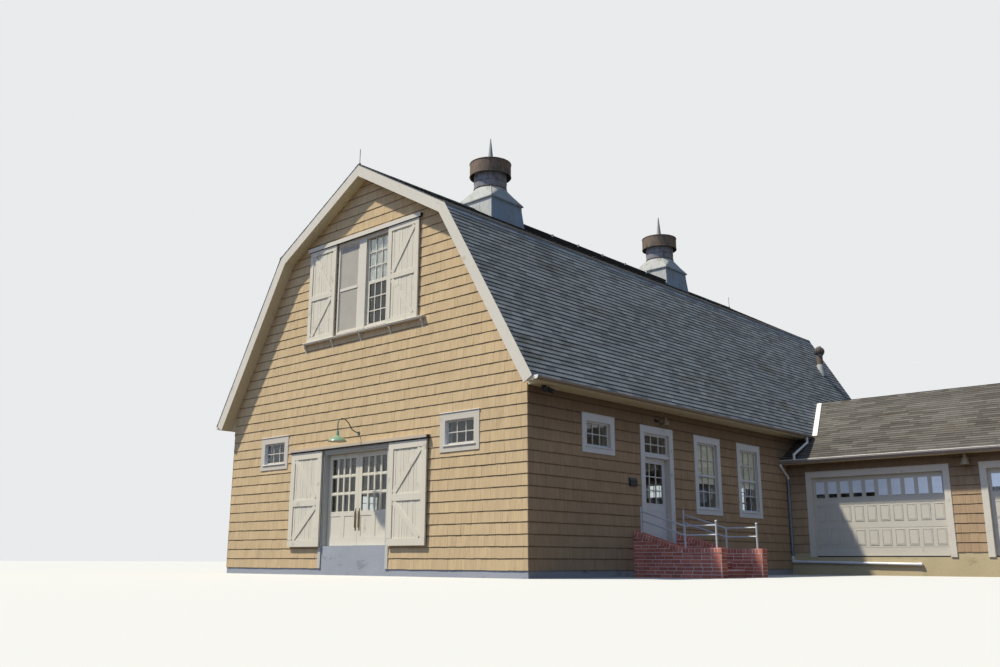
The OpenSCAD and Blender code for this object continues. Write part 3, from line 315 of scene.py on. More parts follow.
# The wing's shingles, a little darker, with painted shade under its eave
WING_SHINGLE = SHINGLE.like("stained_wing_shingle_eave_shade", "#B3987A", "#927A5F", slot="wing_shingles", eave=3.05)
# Softwood boards under the shingles, seen only in the gaps and from inside
SHEATHING = Finish("softwood_sheathing", "shingles", "#64543F", "#4B3D2C", (160, 160, 12), 500, 0.6, bump=1.0)
# Planed pine a hand wide, darkened by use
FLOOR_BOARDS = Finish("pine_floor_boards", "floor_boards", "#9C7C55", "#7C5F3E", (90, 900, 90), 700, 0.7)
# Asphalt shingle: mineral granules drawn coarse, tabs of several tones, a strong line of painted shade under each
# course
ROOFING = Finish("asphalt_shingle", "roof_shingles", "#919699", "#5C6167", (22, 22, 22), 1700, 0.5, 0.24, 0.5, 0.95,
                 bump=1.2, lap=0.128, lap_dark=0.8, lap_band=0.05, patina="#6E6E62", stained=0.2, stretch=(1, 3, 1),
                 pattern=Pattern.GRANULES)
# The rows at the eave and under the knee, darker and bluer as painted shade
ROOFING_EDGE = ROOFING.like("asphalt_shingle_edge", "#59677A", "#3D4858", lap=0.0, patina="")
# Older roofing on the wing: wider tabs, browner, with fainter painted shade under its laps
WING_ROOFING = ROOFING.like("asphalt_shingle_wing", "#66625C", "#4A4744", tone=0.6, lap=0.142, lap_dark=0.35,
                            patina="#544C42", stained=0.3, stretch=(3, 1, 1))
# Oil paint on planed boards: faint brush marks, a little dust
TRIM = Finish("painted_trim", "trim", "#D4CDC0", "#C2BAAB", (30, 30, 120), 800, 0.35, 0.05, 0, 0.55, bump=0.5,
              patina="#A79F90", stained=0.1)
# A greyer, darker copy of the trim for the doorway's jambs and head, as painted shade
SHADED_DOORWAY_TRIM = TRIM.like("weathered_trim_painted_shade", "#BFBEB6", "#ABAAA3", patina="#98978F")
TRACK_PAINT = TRIM.like("weathered_track_paint", "#BDAF9D", "#AD9F8B")
# Window paint: white with a blue tint that is painted shade, and warmer on the faces that look to the front, as painted
# sunlight
WINDOW_TRIM = TRIM.like("window_paint_light_and_shade", "#DADDE2", "#C8CCD2", patina="#A9ACB2", turned="#C4BCAF", way=(0.0, -1.0, 0.0))
DOOR_PAINT = TRIM.like("chalky_door_paint", "#D4CDBC", "#C6BFAE", slot="door_paint", patina="#A8A190", stained=0.16)
DOOR_BOARDS = replace(DOOR_PAINT, name="chalky_door_boards", tone=0.05)
GARAGE_PAINT = TRIM.like("garage_enamel", "#C6C0B3", "#BBB5A8", slot="garage_paint", stained=0.06)
SOFFIT = TRIM.like("olive_soffit_paint", "#D7CEB4", "#C5BCA2", patina="#A0946F")
# Galvanised sheet, weathered: dull, with runs of dirt down the faces; the faces that look to +X get a darker blue-grey,
# as painted shade and sky reflection
ZINC = Finish("weathered_zinc_sheet_painted_shade", "sheet_metal", "#B4B3AC", "#94979A", (60, 60, 160), 500, 0.6, 0.14, 0, 0.62, 0.0,
              0.6, turned="#8092A4", way=(1.0, 0.0, 0.0), patina="#7F7A70", stained=0.3, stretch=(1, 1, 3))
# Sheet that has lost its zinc: streaks of rust over grey, quite dull
RUST = Finish("rusty_sheet_band", "rusty_band", "#85705F", "#645C57", (30, 30, 90), 420, 0.8, 0.2, 0, 0.8, 0.1, 1.2,
              patina="#54514F", stained=0.45, stretch=(1, 1, 2.5))
# Powder-coated steel: even, half dull
DARK_METAL = Finish("dark_painted_metal", "sheet_metal", "#3D4046", "#2E3136", (40, 40, 40), 500, 0.5, roughness=0.5,
                    metallic=0.3)
# Bent sheet under the roof's dirt, with brown runs along it
KNEE_METAL = ZINC.like("stained_knee_flashing", "#7E7A70", "#66635C", turned="", patina="#6E5950", stained=0.45,
                       stretch=(1, 6, 1))
# Coated aluminium sheet: smooth, with a soft gleam, dust in the folds
GUTTER = Finish("painted_gutter_aluminium", "gutter_metal", "#8D827B", "#7C726C", (80, 80, 80), 900, 0.4,
                roughness=0.45, patina="#756C66", stained=0.15, stretch=(2, 2, 1))
# Pale copy of the gutter's paint: on the lips and end caps it is a painted highlight; also used for the valley flashing
# and module clamps
LIP = GUTTER.like("pale_sheet_gutter_highlight", "#E4E2DA", "#CFCDC6", patina="")
# Extruded PVC: smooth, white gone grey
PIPE = Finish("white_plastic_pipe", "white_pipe", "#D9DADA", "#C3C5C8", (90, 90, 90), 600, 0.4, roughness=0.35,
              bump=0.1, patina="#A9A9A5", stained=0.12)
# Dark blue-grey, for the sleeve on the upright pipe
PIPE_DARK = PIPE.like("dark_downspout_sleeve", "#6D7684", "#5C6472", patina="#4F5663")
RAIL_PAINT = PIPE.like("white_rail_enamel", "#B9BDC2", "#A7ABB0", stained=0.06)
# Silicon cells of 156 mm behind plain glass: nearly black, with a sharp gleam and thin lines
MODULE = Finish("solar_module_glass", "dark_modules", "#15181F", "#3A4150", (156, 180, 156), 900, 0.8, 0.05, 0, 0.15,
                bump=0.0, pattern=Pattern.CELLS)
MODULE_FRAME = replace(DARK_METAL, name="module_frame", slot="dark_modules", colour="#2A2C30")
# Wire-cut clay brick: sandy faces, each brick with its own red
BRICK = Finish("fired_brick", "brick", "#C97E6B", "#A05646", (14, 14, 14), 300, 0.6, 0.1, 0.4, 0.85, bump=1.2,
               patina="#6E423A", stained=0.16)
# Sanded lime mortar, struck flush: pale and dull
MORTAR = Finish("lime_mortar", "brick", "#F2EDE6", "#DDD6CC", (7, 7, 7), 300, 0.5, bump=0.8)
# Cast concrete: form-board lines are faint, dirt collects low on the face
CONCRETE = Finish("cast_concrete", "concrete", "#A2A5AC", "#8E929A", (35, 35, 35), 700, 0.55, 0.12, bump=1.0,
                  patina="#6C6E73", stained=0.18, stretch=(2, 2, 1))
WING_CONCRETE = CONCRETE.like("ochre_concrete", "#C0B08C", "#AB9A79", slot="wing_concrete", patina="#9C8C70")
# Vitreous enamel on pressed steel: hard, even and shiny
ENAMEL_GREEN = Finish("green_lamp_enamel", "lamp_green", "#7F9F83", "#6C8B72", (60, 60, 60), 300, 0.4, roughness=0.25,
                      bump=0.1)
ENAMEL_WHITE = ENAMEL_GREEN.like("white_lamp_enamel", "#E6E4DC", "#D8D5CB")
BEIGE = ENAMEL_GREEN.like("beige_lamp_enamel", "#94886F", "#7F735D", slot="sheet_metal", roughness=0.45)
# Cast brass gone brown, finely mottled
BRASS = Finish("aged_brass", "sheet_metal", "#86744A", "#5E4F31", (12, 12, 12), 90, 0.5, roughness=0.4, metallic=0.8,
               bump=0.1)
# Painted aluminium slats: each a little lighter or darker at random, as painted shade of its tilt
SLAT = Finish("cream_blind_slat", "trim", "#F0ECE4", "#E2DDD2", (200, 200, 8), 400, 0.3, 0.04, 0.06, 0.7, bump=0.1)
# Film on the garage lights: pale and bluish as a painted reflection of the sky, with some real gleam
SKY_FILM = Finish("window_film_painted_sky_reflection", "glass", "#E9F0F8", "#CFDAE6", (400, 400, 200), 700, 0.4, 0.06, roughness=0.3,
                  metallic=0.3, bump=0.0)
# Float glass: clear, with a breath of green, and slightly wavy
GLASS = Clear("window_glass", "glass", "#F0F6F5", "#E6EEED", (500, 500, 500), 900, 0.3, 0.02, roughness=0.02, bump=0.05)
# Woven fly screen: its wires are too fine to show, so it is drawn as a thin veil
SCREEN = Clear("insect_screen", "glass", "#B7B0A4", "#A8A196", (6, 6, 6), 300, 0.4, roughness=0.8, bump=0.0,
               through=0.0, cover=0.8)

NODE_FINISHES = {
    CONCRETE: ("foundation", "door_sills"), WING_CONCRETE: ("wing_foundation",),
    FLOOR_BOARDS: ("ground_floor", "loft_floor"),
    SHEATHING: ("front_wall_left", "front_wall_right", "front_gable", "left_wall", "right_wall_front",
                "right_wall_over_door", "right_wall_back", "back_wall", "wing_front_wall", "wing_end_wall",
                "wing_back_wall"),
    SOFFIT: ("roof_lower_left", "roof_lower_right", "roof_upper_left", "roof_upper_right", "wing_roof_front",
             "wing_roof_back"),
    TRIM: ("rake_boards", "loft_shelf", "garage_door_frames", "loft_window_frame"),
    WINDOW_TRIM: ("window_frames", "side_door_frame", "side_door"),
    SHADED_DOORWAY_TRIM: ("front_door_frame",),
    DOOR_PAINT: ("glazed_door_left", "glazed_door_right"), GARAGE_PAINT: ("garage_doors",),
    ZINC: ("ventilator_bases",), RUST: ("ventilator_bands", "chimney_stack"), DARK_METAL: ("door_track",),
    MODULE: ("solar_panels",), MORTAR: ("entry_steps", "stair_walls"), RAIL_PAINT: ("stair_rails",),
    GLASS: ("window_glass", "glazed_door_left_glass", "glazed_door_right_glass", "side_door_glass"),
    GUTTER: ("gutters",), PIPE: ("downpipes",),
}


@dataclass(frozen=True)
class Rect:
    """A rectangle in a wall's own plane."""

    x0: float
    x1: float
    z0: float
    z1: float

    def grown(self, by: float) -> "Rect":
        """Gives the rectangle with its edges moved out."""
        return Rect(self.x0 - by, self.x1 + by, self.z0 - by, self.z1 + by)

    def outline(self) -> Outline:
        """Gives the four corners."""
        return [(self.x0, self.z0), (self.x1, self.z0), (self.x1, self.z1), (self.x0, self.z1)]


def around(count: int, radius: float = 1.0, centre: tuple[float, float] = (0.0, 0.0)) -> Outline:
    """Spaces points evenly around a circle.

    Args:
        count: Their number.
        radius: The circle's radius.
        centre: Its centre.

    Returns:
        The points.
    """
    turns = [2 * math.pi * k / count for k in range(count)]
    return [(centre[0] + radius * math.cos(t), centre[1] + radius * math.sin(t)) for t in turns]


def turned(turn: float, origin: Point = (0.0, 0.0, 0.0)) -> Matrix:
    """Gives a wall's frame from the turn of its outward side, which is -Y at 0, and its origin."""
    return Matrix.Translation(origin) @ Matrix.Rotation(math.radians(turn), 4, "Z")


def laid(origin: Point, along: Point, up: Point) -> Matrix:
    """Gives the frame of a sloping plane.

    Args:
        origin: The frame's origin.
        along: The direction of X.
        up: The direction of Z, square to along.

    Returns:
        The frame, whose -Y is the plane's outward side.
    """
    x, z = Vector(along).normalized(), Vector(up).normalized()
    y = z.cross(x)
    return Matrix.Translation(origin) @ Matrix((x, y, z)).transposed().to_4x4()


def solids(node: str) -> list[Box]:
    """Finds the separate solids of a CAD node.

    Args:
        node: The node's name.

    Returns:
        The lowest and highest corner of each, in order of X and then Y.
    """
    bm = bmesh.new()
    bm.from_mesh(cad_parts[node].data)
    bmesh.ops.remove_doubles(bm, verts=bm.verts, dist=1e-5)
    found, left = [], set(bm.verts)
    while left:
        group, front = set(), [left.pop()]
        while front:
            vert = front.pop()
            group.add(vert)
            near = {e.other_vert(vert) for e in vert.link_edges} & left
            left -= near
            front += near
        found.append(tuple(Vector([f(v.co[i] for v in group) for i in range(3)]) for f in (min, max)))
    bm.free()
    return sorted(found, key=lambda b: (round(b[0].x, 2), b[0].y))


@dataclass
class Shell:
    """The building's main sizes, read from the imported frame."""

    eave_face: float = 0.1
    verge_cover: float = 0.015
    hidden: float = 0.14  # depth in the roof, square to it, at which a wall's shingles are cut off

    def __post_init__(self) -> None:
        """Reads the boxes of the nodes that set the sizes."""
        lo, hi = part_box("foundation")
        self.half, self.front, self.back, self.base = hi.x, lo.y, hi.y, hi.z
        low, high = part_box("roof_lower_right"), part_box("roof_upper_right")
        self.plate, self.eave_x = low[0].z, low[1].x
        self.eave_z = self.plate + self.eave_face
        self.knee_x, self.knee_z, self.ridge_z = high[1].x, low[1].z, high[1].z
        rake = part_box("rake_boards")
        self.verge0, self.verge1 = rake[0].y - self.verge_cover, rake[1].y + self.verge_cover
        wall, end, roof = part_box("wing_front_wall"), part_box("wing_end_wall"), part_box("wing_roof_front")
        self.wing_front, self.wing_base, self.wing_plate = wall[0].y, wall[0].z, wall[1].z
        self.wing_end = end[1].x
        self.wing_eave_y, self.wing_ridge_y, self.wing_ridge_z = roof[0].y, roof[1].y, roof[1].z
        self.wing_eave_z = roof[0].z + self.eave_face
        self.wing_verge = rake[1].x + self.verge_cover
        self.low_tan = (self.knee_z - self.eave_z) / (self.eave_x - self.knee_x)
        self.high_tan = (self.ridge_z - self.knee_z) / self.knee_x
        self.wing_tan = (self.wing_ridge_z - self.wing_eave_z) / (self.wing_ridge_y - self.wing_eave_y)

    def gable(self, side: float) -> Outline:
        """Gives the outline of an end wall's shingles, cut inside the roof's thickness.

        Args:
            side: How far the outline goes beyond the side walls.

        Returns:
            The outline, from the lower left corner.
        """
        x = self.half + side
        drop_low = self.hidden * math.hypot(1, self.low_tan)
        drop_high = self.hidden * math.hypot(1, self.high_tan)
        at_wall = self.knee_z + (self.knee_x - x) * self.low_tan - drop_low
        knee_x = self.knee_x + (drop_high - drop_low) / (self.low_tan - self.high_tan)
        knee_z = self.ridge_z - knee_x * self.high_tan - drop_high
        half = [(x, self.base), (x, at_wall), (knee_x, knee_z), (0.0, self.ridge_z - drop_high)]
        return [(-x, self.base), *half, (-knee_x, knee_z), (-x, at_wall)]

    def wing_gable(self, side: float) -> Outline:
        """Gives the outline of the wing's end, in the frame of a wall that faces +X."""
        y0, y1 = self.wing_front - side, self.back + side
        drop = self.hidden * math.hypot(1, self.wing_tan)
        top = self.wing_ridge_z - drop
        edge = top - (self.wing_ridge_y - y0) * self.wing_tan
        return [(y0, self.wing_base), (y1, self.wing_base), (y1, edge), (self.wing_ridge_y, top), (y0, edge)]


class Tree:
    """The geometry tree that lays pieces in courses."""

    SIZES = ("Width", "Gap", "Thickness", "Taper", "Sway", "Drop")

    def __init__(self) -> None:
        """Builds the tree."""
        self.tree = bpy.data.node_groups.new("laid_courses", "GeometryNodeTree")
        for name in ("Geometry", *self.SIZES, "Seed", "Material"):
            kind = name if name in ("Geometry", "Material") else "Int" if name == "Seed" else "Float"
            self.tree.interface.new_socket(name, in_out="INPUT", socket_type="NodeSocket" + kind)
        self.tree.interface.new_socket("Geometry", in_out="OUTPUT", socket_type="NodeSocketGeometry")
        self.source = add(self.tree, "NodeGroupInput").outputs
        add(self.tree, "NodeGroupOutput", (self.pieces(self.joints()),))

    def chance(self, low: float, high: float, step: int) -> Socket:
        """Adds a random number between two values; step tells one draw from another."""
        seed = add(self.tree, MATH, (self.source["Seed"], float(step)), operation="ADD")
        return add(self.tree, "FunctionNodeRandomValue", {2: low, 3: high, 8: seed}).outputs[1]

    def joints(self) -> Node:
        """Cuts each run at its joints, which are shifted along it at random.

        Returns:
            The runs as curves with a point at each joint.
        """
        tree, sizes = self.tree, self.source
        curve = add(tree, "GeometryNodeMeshToCurve", {"Mesh": sizes["Geometry"]})
        length = add(tree, MATH, (sizes["Width"], self.chance(0.88, 1.12, 1)), operation="MULTIPLY")
        cut = add(tree, "GeometryNodeResampleCurve", {"Curve": curve, "Length": length}, mode="LENGTH")
        ends = add(tree, "GeometryNodeCurveEndpointSelection", {"Start Size": 1, "End Size": 1})
        inner = add(tree, "FunctionNodeBooleanMath", (ends,), operation="NOT")
        most = add(tree, MATH, (sizes["Sway"], sizes["Width"]), operation="MULTIPLY")
        sway = add(tree, MATH, (most, self.chance(-1.0, 1.0, 2)), operation="MULTIPLY")
        drop = add(tree, MATH, (sizes["Drop"], self.chance(-1.0, 1.0, 3)), operation="MULTIPLY")
        across, down = add(tree, "ShaderNodeCombineXYZ", {"X": sway}), add(tree, "ShaderNodeCombineXYZ", {"Z": drop})
        moved = add(tree, "GeometryNodeSetPosition", {"Geometry": cut, "Selection": inner, "Offset": across})
        return add(tree, "GeometryNodeSetPosition", {"Geometry": moved, "Offset": down})

    def wedge(self) -> Node:
        """Makes a block one unit each way, thinner at its top by the taper."""
        tree = self.tree
        cube = add(tree, "GeometryNodeMeshCube", {"Size": (1.0, 1.0, 1.0)})
        x, y, z = add(tree, "ShaderNodeSeparateXYZ", (add(tree, "GeometryNodeInputPosition"),)).outputs
        height = add(tree, MATH, (z, 0.5), operation="ADD")
        more = add(tree, MATH, (self.source["Taper"], 1.0), operation="SUBTRACT")
        thin = add(tree, MATH, (more, height, 1.0), operation="MULTIPLY_ADD")
        inwards = add(tree, MATH, (y, 0.5), operation="SUBTRACT")
        depth = add(tree, MATH, (inwards, thin), operation="MULTIPLY")
        along = add(tree, MATH, (x, 0.5), operation="ADD")
        made = add(tree, "ShaderNodeCombineXYZ", (along, depth, height))
        told = add(tree, "GeometryNodeStoreNamedAttribute", {"Geometry": cube, "Name": "rise", "Value": height},
                   domain="POINT")
        return add(tree, "GeometryNodeSetPosition", {"Geometry": told, "Position": made})

    def pieces(self, points: Node) -> Node:
        """Puts a wedge from each joint to the next.

        Args:
            points: The runs with their joints.

        Returns:
            The finished mesh.
        """
        tree, sizes = self.tree, self.source
        place = add(tree, "GeometryNodeInputPosition")
        after = add(tree, MATH, (add(tree, "GeometryNodeInputIndex"), 1.0), operation="ADD")
        following = add(tree, "GeometryNodeFieldAtIndex", {"Index": after, "Value": place},
                        data_type="FLOAT_VECTOR", domain="POINT")
        pitch = add(tree, "ShaderNodeSeparateXYZ",
                    (add(tree, "ShaderNodeVectorMath", (following, place), operation="SUBTRACT"),))
        gap = add(tree, MATH, (sizes["Gap"], self.chance(0.5, 1.5, 4)), operation="MULTIPLY")
        width = add(tree, MATH, (pitch, gap), operation="SUBTRACT")
        depth = add(tree, MATH, (sizes["Thickness"], self.chance(0.85, 1.15, 5)), operation="MULTIPLY")
        height = add(tree, "GeometryNodeInputNamedAttribute", {"Name": "piece_height"})
        scale = add(tree, "ShaderNodeCombineXYZ", (width, depth, height))
        last = add(tree, "GeometryNodeCurveEndpointSelection", {"Start Size": 0, "End Size": 1})
        kept = add(tree, "FunctionNodeBooleanMath", (last,), operation="NOT")
        made = add(tree, "GeometryNodeInstanceOnPoints", {"Points": points, "Selection": kept,
                                                          "Instance": self.wedge(), "Scale": scale})
        for name, value in (("tone", self.chance(0.0, 1.0, 6)), ("reach", height)):
            made = add(tree, "GeometryNodeStoreNamedAttribute", {"Geometry": made, "Name": name, "Value": value},
                       domain="INSTANCE")
        real = add(tree, "GeometryNodeRealizeInstances", (made,))
        share, reach = (add(tree, "GeometryNodeInputNamedAttribute", {"Name": name}) for name in ("rise", "reach"))
        rise = add(tree, MATH, (share, reach), operation="MULTIPLY")
        risen = add(tree, "GeometryNodeStoreNamedAttribute", {"Geometry": real, "Name": "rise", "Value": rise},
                    domain="POINT")
        return add(tree, "GeometryNodeSetMaterial", {"Geometry": risen, "Material": sizes["Material"]})


COURSES = Tree()


def keep(obj: Object, body: str, stands_for: tuple[str, ...] = ()) -> Object:
    """Makes a finished object ride on its body and reports it.

    Args:
        obj: The object, in place.
        body: The body that carries it.
        stands_for: CAD nodes that it replaces.

    Returns:
        The object.
    """
    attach(obj, body)
    if stands_for:
        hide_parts(*stands_for)
    LOG.info("%s: %d faces, on %s", obj.name, len(obj.data.polygons), body)
    return obj


@dataclass(frozen=True)
class Course:
    """How shingles, tabs, bricks, boards or slats are laid in courses."""

    finish: Finish
    exposure: float
    width: float
    gap: float
    thickness: float
    taper: float = 1.0
    overlap: float = 0.0
    sway: float = 0.0
    drop: float = 0.0
    shift: float = 0.0  # shift of every second course, as a share of the width
    least: float = 0.025  # height under which the rest of a course is left out

    def runs(self, outline: Outline, holes: tuple[Rect, ...] = (), foot: float | None = None) -> list[Run]:
        """Works out the level runs that fill an outline around its holes.

        Args:
            outline: An outline that any level crosses once.
            holes: What the courses stop at.
            foot: Level of the first course, where it isn't the outline's foot.

        Returns:
            The runs, each as its start, end, level and the height of its pieces.
        """
        level = min(z for _, z in outline) if foot is None else foot
        top = max(z for _, z in outline)
        made, row = [], 0
        while level < top - self.least:
            low, high = (self.span(outline, z) for z in (level, level + self.exposure))
            span = (min(low[0], high[0]), max(low[1], high[1]))
            reach = min(self.exposure, top - level)
            cut = [h for h in holes if h.z1 > level + self.least and h.z0 < level + self.exposure]
            edge = span[0] - (self.shift * self.width if row % 2 else 0.0)
            for hole in sorted(cut, key=lambda h: h.x0):
                made.append((edge, hole.x0, level, reach + self.overlap))
                edge = max(edge, hole.x1)
                if hole.z0 - level > self.least:
                    made.append((hole.x0, hole.x1, level, hole.z0 - level + self.least))
                if level + self.exposure - hole.z1 > self.least:
                    made.append((hole.x0, hole.x1, hole.z1, level + self.exposure - hole.z1 + self.overlap))
            made.append((edge, span[1], level, reach + self.overlap))
            level += self.exposure
            row += 1
        return [r for r in made if r[1] - r[0] > self.least]

    @staticmethod
    def span(outline: Outline, level: float) -> tuple[float, float]:
        """Finds where an outline starts and ends at a level."""
        levels = [z for _, z in outline]
        found, level = [], min(max(level, min(levels)), max(levels))
        for (x0, z0), (x1, z1) in zip(outline, outline[1:] + outline[:1]):
            if min(z0, z1) <= level <= max(z0, z1):
                found += [x0, x1] if z0 == z1 else [x0 + (x1 - x0) * (level - z0) / (z1 - z0)]
        return min(found), max(found)

    def lay(self, name: str, runs: list[Run], place: Matrix, clips: tuple[Clip, ...] = (), seed: int = 1,
            body: str = "building") -> Object:
        """Lays the pieces along their runs.

        Args:
            name: The new piece's name.
            runs: The runs in the plane of place.
            place: The plane's frame.
            clips: Planes, as a point and an outward direction, past which everything is cut off.
            seed: The seed of everything random.
            body: The body that carries the piece.

        Returns:
            The new object.
        """
        mesh = bpy.data.meshes.new(name)
        mesh.from_pydata([(x, 0.0, r[2]) for r in runs for x in r[:2]],
                         [(2 * i, 2 * i + 1) for i in range(len(runs))], [])
        heights = mesh.attributes.new("piece_height", "FLOAT", "POINT")
        heights.data.foreach_set("value", [r[3] for r in runs for _ in (0, 1)])
        obj = placed(name, mesh)
        modifier = obj.modifiers.new("laid", "NODES")
        modifier.node_group = COURSES.tree
        sizes = (self.width, self.gap, self.thickness, self.taper, self.sway, self.drop)
        values = dict(zip(Tree.SIZES, sizes), Seed=seed, Material=self.finish.material())
        for item in COURSES.tree.interface.items_tree:
            if item.in_out == "INPUT" and item.name in values:
                modifier[item.identifier] = values[item.name]
        graph = bpy.context.evaluated_depsgraph_get()
        made = bpy.data.meshes.new_from_object(obj.evaluated_get(graph), depsgraph=graph)
        obj.modifiers.remove(modifier)
        obj.data = made
        bpy.data.meshes.remove(mesh)
        made.name = name
        if clips:
            cut_off(made, clips)
        made.transform(place)
        return keep(obj, body)


# Slats as long as their window is wide
SLATS = Course(SLAT, 0.05, 5.0, 0.0, 0.004)


def cut_off(mesh: bpy.types.Mesh, clips: tuple[Clip, ...]) -> None:
    """Cuts a mesh at planes and closes it there.

    Args:
        mesh: The mesh.
        clips: Planes, as a point and an outward direction.
    """
    bm = bmesh.new()
    bm.from_mesh(mesh)
    for point, outward in clips:
        geometry = [*bm.verts, *bm.edges, *bm.faces]
        cut = bmesh.ops.bisect_plane(bm, geom=geometry, dist=1e-6, plane_co=point, plane_no=outward,
                                     clear_outer=True)["geom_cut"]
        edges = [e for e in cut if isinstance(e, bmesh.types.BMEdge) and e.is_boundary]
        bmesh.ops.holes_fill(bm, edges=edges, sides=0)
    bm.to_mesh(mesh)
    bm.free()


def slope_clips(outline: Outline) -> tuple[Clip, ...]:
    """Gives the planes of an outline's sloping edges."""
    clips = []
    for (x0, z0), (x1, z1) in zip(outline, outline[1:] + outline[:1]):
        if abs(x1 - x0) > 1e-6 and abs(z1 - z0) > 1e-6:
            clips.append(((x0, 0.0, z0), (z1 - z0, 0.0, x0 - x1)))
    return tuple(clips)


def end_clips(x0: float, x1: float) -> tuple[Clip, ...]:
    """Gives the planes of two upright edges."""
    return ((x0, 0.0, 0.0), (-1.0, 0.0, 0.0)), ((x1, 0.0, 0.0), (1.0, 0.0, 0.0))


class Joinery:
    """Gathers the boards, bars and turned parts of one piece, each drawn in the frame of its own place."""

    def __init__(self, place: Matrix = Matrix.Identity(4)) -> None:
        """Starts an empty piece."""
        self.place = place
        self.bm = bmesh.new()

    def hull(self, corners: list[Point], faces: list[tuple[int, ...]]) -> None:
        """Adds corners and the faces between them."""
        verts = [self.bm.verts.new(self.place @ Vector(c)) for c in corners]
        for face in faces:
            self.bm.faces.new([verts[i] for i in face])

    def prism(self, outline: Outline, y0: float, y1: float) -> None:
        """Adds an outline, drawn in the wall's plane, from one depth to another."""
        n = len(outline)
        corners = [(x, y, z) for y in (y0, y1) for x, z in outline]
        sides = [(i, (i + 1) % n, n + (i + 1) % n, n + i) for i in range(n)]
        self.hull(corners, [tuple(range(n)), tuple(range(2 * n - 1, n - 1, -1)), *sides])

    def board(self, rect: Rect, y0: float, y1: float) -> None:
        """Adds a square-edged board."""
        self.prism(rect.outline(), y0, y1)

    def frame(self, rect: Rect, edge: float, y0: float, y1: float) -> None:
        """Adds four boards around a rectangle's inner edge."""
        self.board(Rect(rect.x0, rect.x1, rect.z1 - edge, rect.z1), y0, y1)
        self.board(Rect(rect.x0, rect.x1, rect.z0, rect.z0 + edge), y0, y1)
        for x in (rect.x0, rect.x1 - edge):
            self.board(Rect(x, x + edge, rect.z0 + edge, rect.z1 - edge), y0, y1)

    def brace(self, a: tuple[float, float], b: tuple[float, float], width: float, y0: float, y1: float) -> None:
        """Adds a board between two points of the wall's plane."""
        v = (Vector(b) - Vector(a)).normalized() * width / 2
        self.prism([(a[0] + v.y, a[1] - v.x), (b[0] + v.y, b[1] - v.x), (b[0] - v.y, b[1] + v.x),
                    (a[0] - v.y, a[1] + v.x)], y0, y1)

    def bars(self, rect: Rect, columns: int, rows: int, width: float, y0: float, y1: float) -> None:
        """Adds glazing bars that part a rectangle into lights."""
        for i in range(1, columns):
            x = rect.x0 + (rect.x1 - rect.x0) * i / columns
            self.board(Rect(x - width / 2, x + width / 2, rect.z0, rect.z1), y0, y1)
        for i in range(1, rows):
            z = rect.z0 + (rect.z1 - rect.z0) * i / rows
            self.board(Rect(rect.x0, rect.x1, z - width / 2, z + width / 2), y0 + 0.001, y1 - 0.001)

    def sweep(self, section: Outline, x0: float, x1: float) -> None:
        """Adds a section, drawn as depth and level, from one place along the wall to another."""
        n = len(section)
        corners = [(x, y, z) for x in (x0, x1) for y, z in section]
        sides = [(i, n + i, n + (i + 1) % n, (i + 1) % n) for i in range(n)]
        self.hull(corners, [tuple(range(n - 1, -1, -1)), tuple(range(n, 2 * n)), *sides])

    def drip(self, x0: float, x1: float, z: float, out: float) -> None:
        """Adds a drip cap on a casing whose top lies at z."""
        self.sweep([(-out, z), (-out, z + 0.008), (0.0, z + 0.022), (0.0, z)], x0 - 0.01, x1 + 0.01)

    def tube(self, path: list[Point], radius: float, sides: int = 12) -> None:
        """Adds a round tube along a path.

        Args:
            path: The points that its middle follows.
            radius: Its radius.
            sides: How many faces go round it.
        """
        points = [Vector(p) for p in path]
        rings = []
        for i, p in enumerate(points):
            ahead = (points[min(i + 1, len(points) - 1)] - points[max(i - 1, 0)]).normalized()
            other = Vector((0.3, 0.2, 1.0)) if abs(ahead.z) < 0.9 else Vector((1.0, 0.2, 0.1))
            side = ahead.cross(other).normalized()
            up = side.cross(ahead)
            rings.append([p + radius * (side * c + up * s) for c, s in around(sides)])
        corners = [tuple(c) for ring in rings for c in ring]
        faces = [tuple(range(sides)), tuple(range(len(corners) - 1, len(corners) - sides - 1, -1))]
        for i in range(len(rings) - 1):
            for k in range(sides):
                a, b = i * sides + k, i * sides + (k + 1) % sides
                faces.append((a, b, b + sides, a + sides))
        self.hull(corners, faces)

    def turning(self, profile: Outline, centre: Point, sides: int = 32) -> None:
        """Adds a closed profile, turned about an upright axis.

        Args:
            profile: Its corners, as distance from the axis and level.
            centre: The point of the axis at level 0.
            sides: How many faces go round.
        """
        n = len(profile)
        corners = [(centre[0] + r * c, centre[1] + r * s, centre[2] + z) for c, s in around(sides) for r, z in profile]
        faces = [(k * n + i, k * n + (i + 1) % n, (k + 1) % sides * n + (i + 1) % n, (k + 1) % sides * n + i)
                 for k in range(sides) for i in range(n)]
        self.hull(corners, faces)

    def make(self, name: str, finish: Finish, body: str = "building", bevel: float = 0.0,
             stands_for: tuple[str, ...] = ()) -> Object:
        """Turns what was gathered into a piece.

        Args:
            name: The piece's name.
            finish: Its finish.
            body: The body that carries it.
            bevel: Width of the worn edges, or 0.
            stands_for: CAD nodes that it replaces.

        Returns:
            The new object.
        """
        bmesh.ops.remove_doubles(self.bm, verts=self.bm.verts, dist=1e-6)
        bmesh.ops.dissolve_degenerate(self.bm, edges=self.bm.edges, dist=1e-6)
        bmesh.ops.recalc_face_normals(self.bm, faces=self.bm.faces)
        mesh = bpy.data.meshes.new(name)
        self.bm.to_mesh(mesh)
        self.bm.free()
        mesh.shade_smooth()
        mesh.set_sharp_from_angle(angle=math.radians(32))
        mesh.materials.append(finish.material())
        obj = placed(name, mesh)
        if bevel:
            modifier = obj.modifiers.new("worn_edges", "BEVEL")
            modifier.width, modifier.segments, modifier.limit_method = bevel, 1, "ANGLE"
            modifier.angle_limit = math.radians(50)
        return keep(obj, body, stands_for)


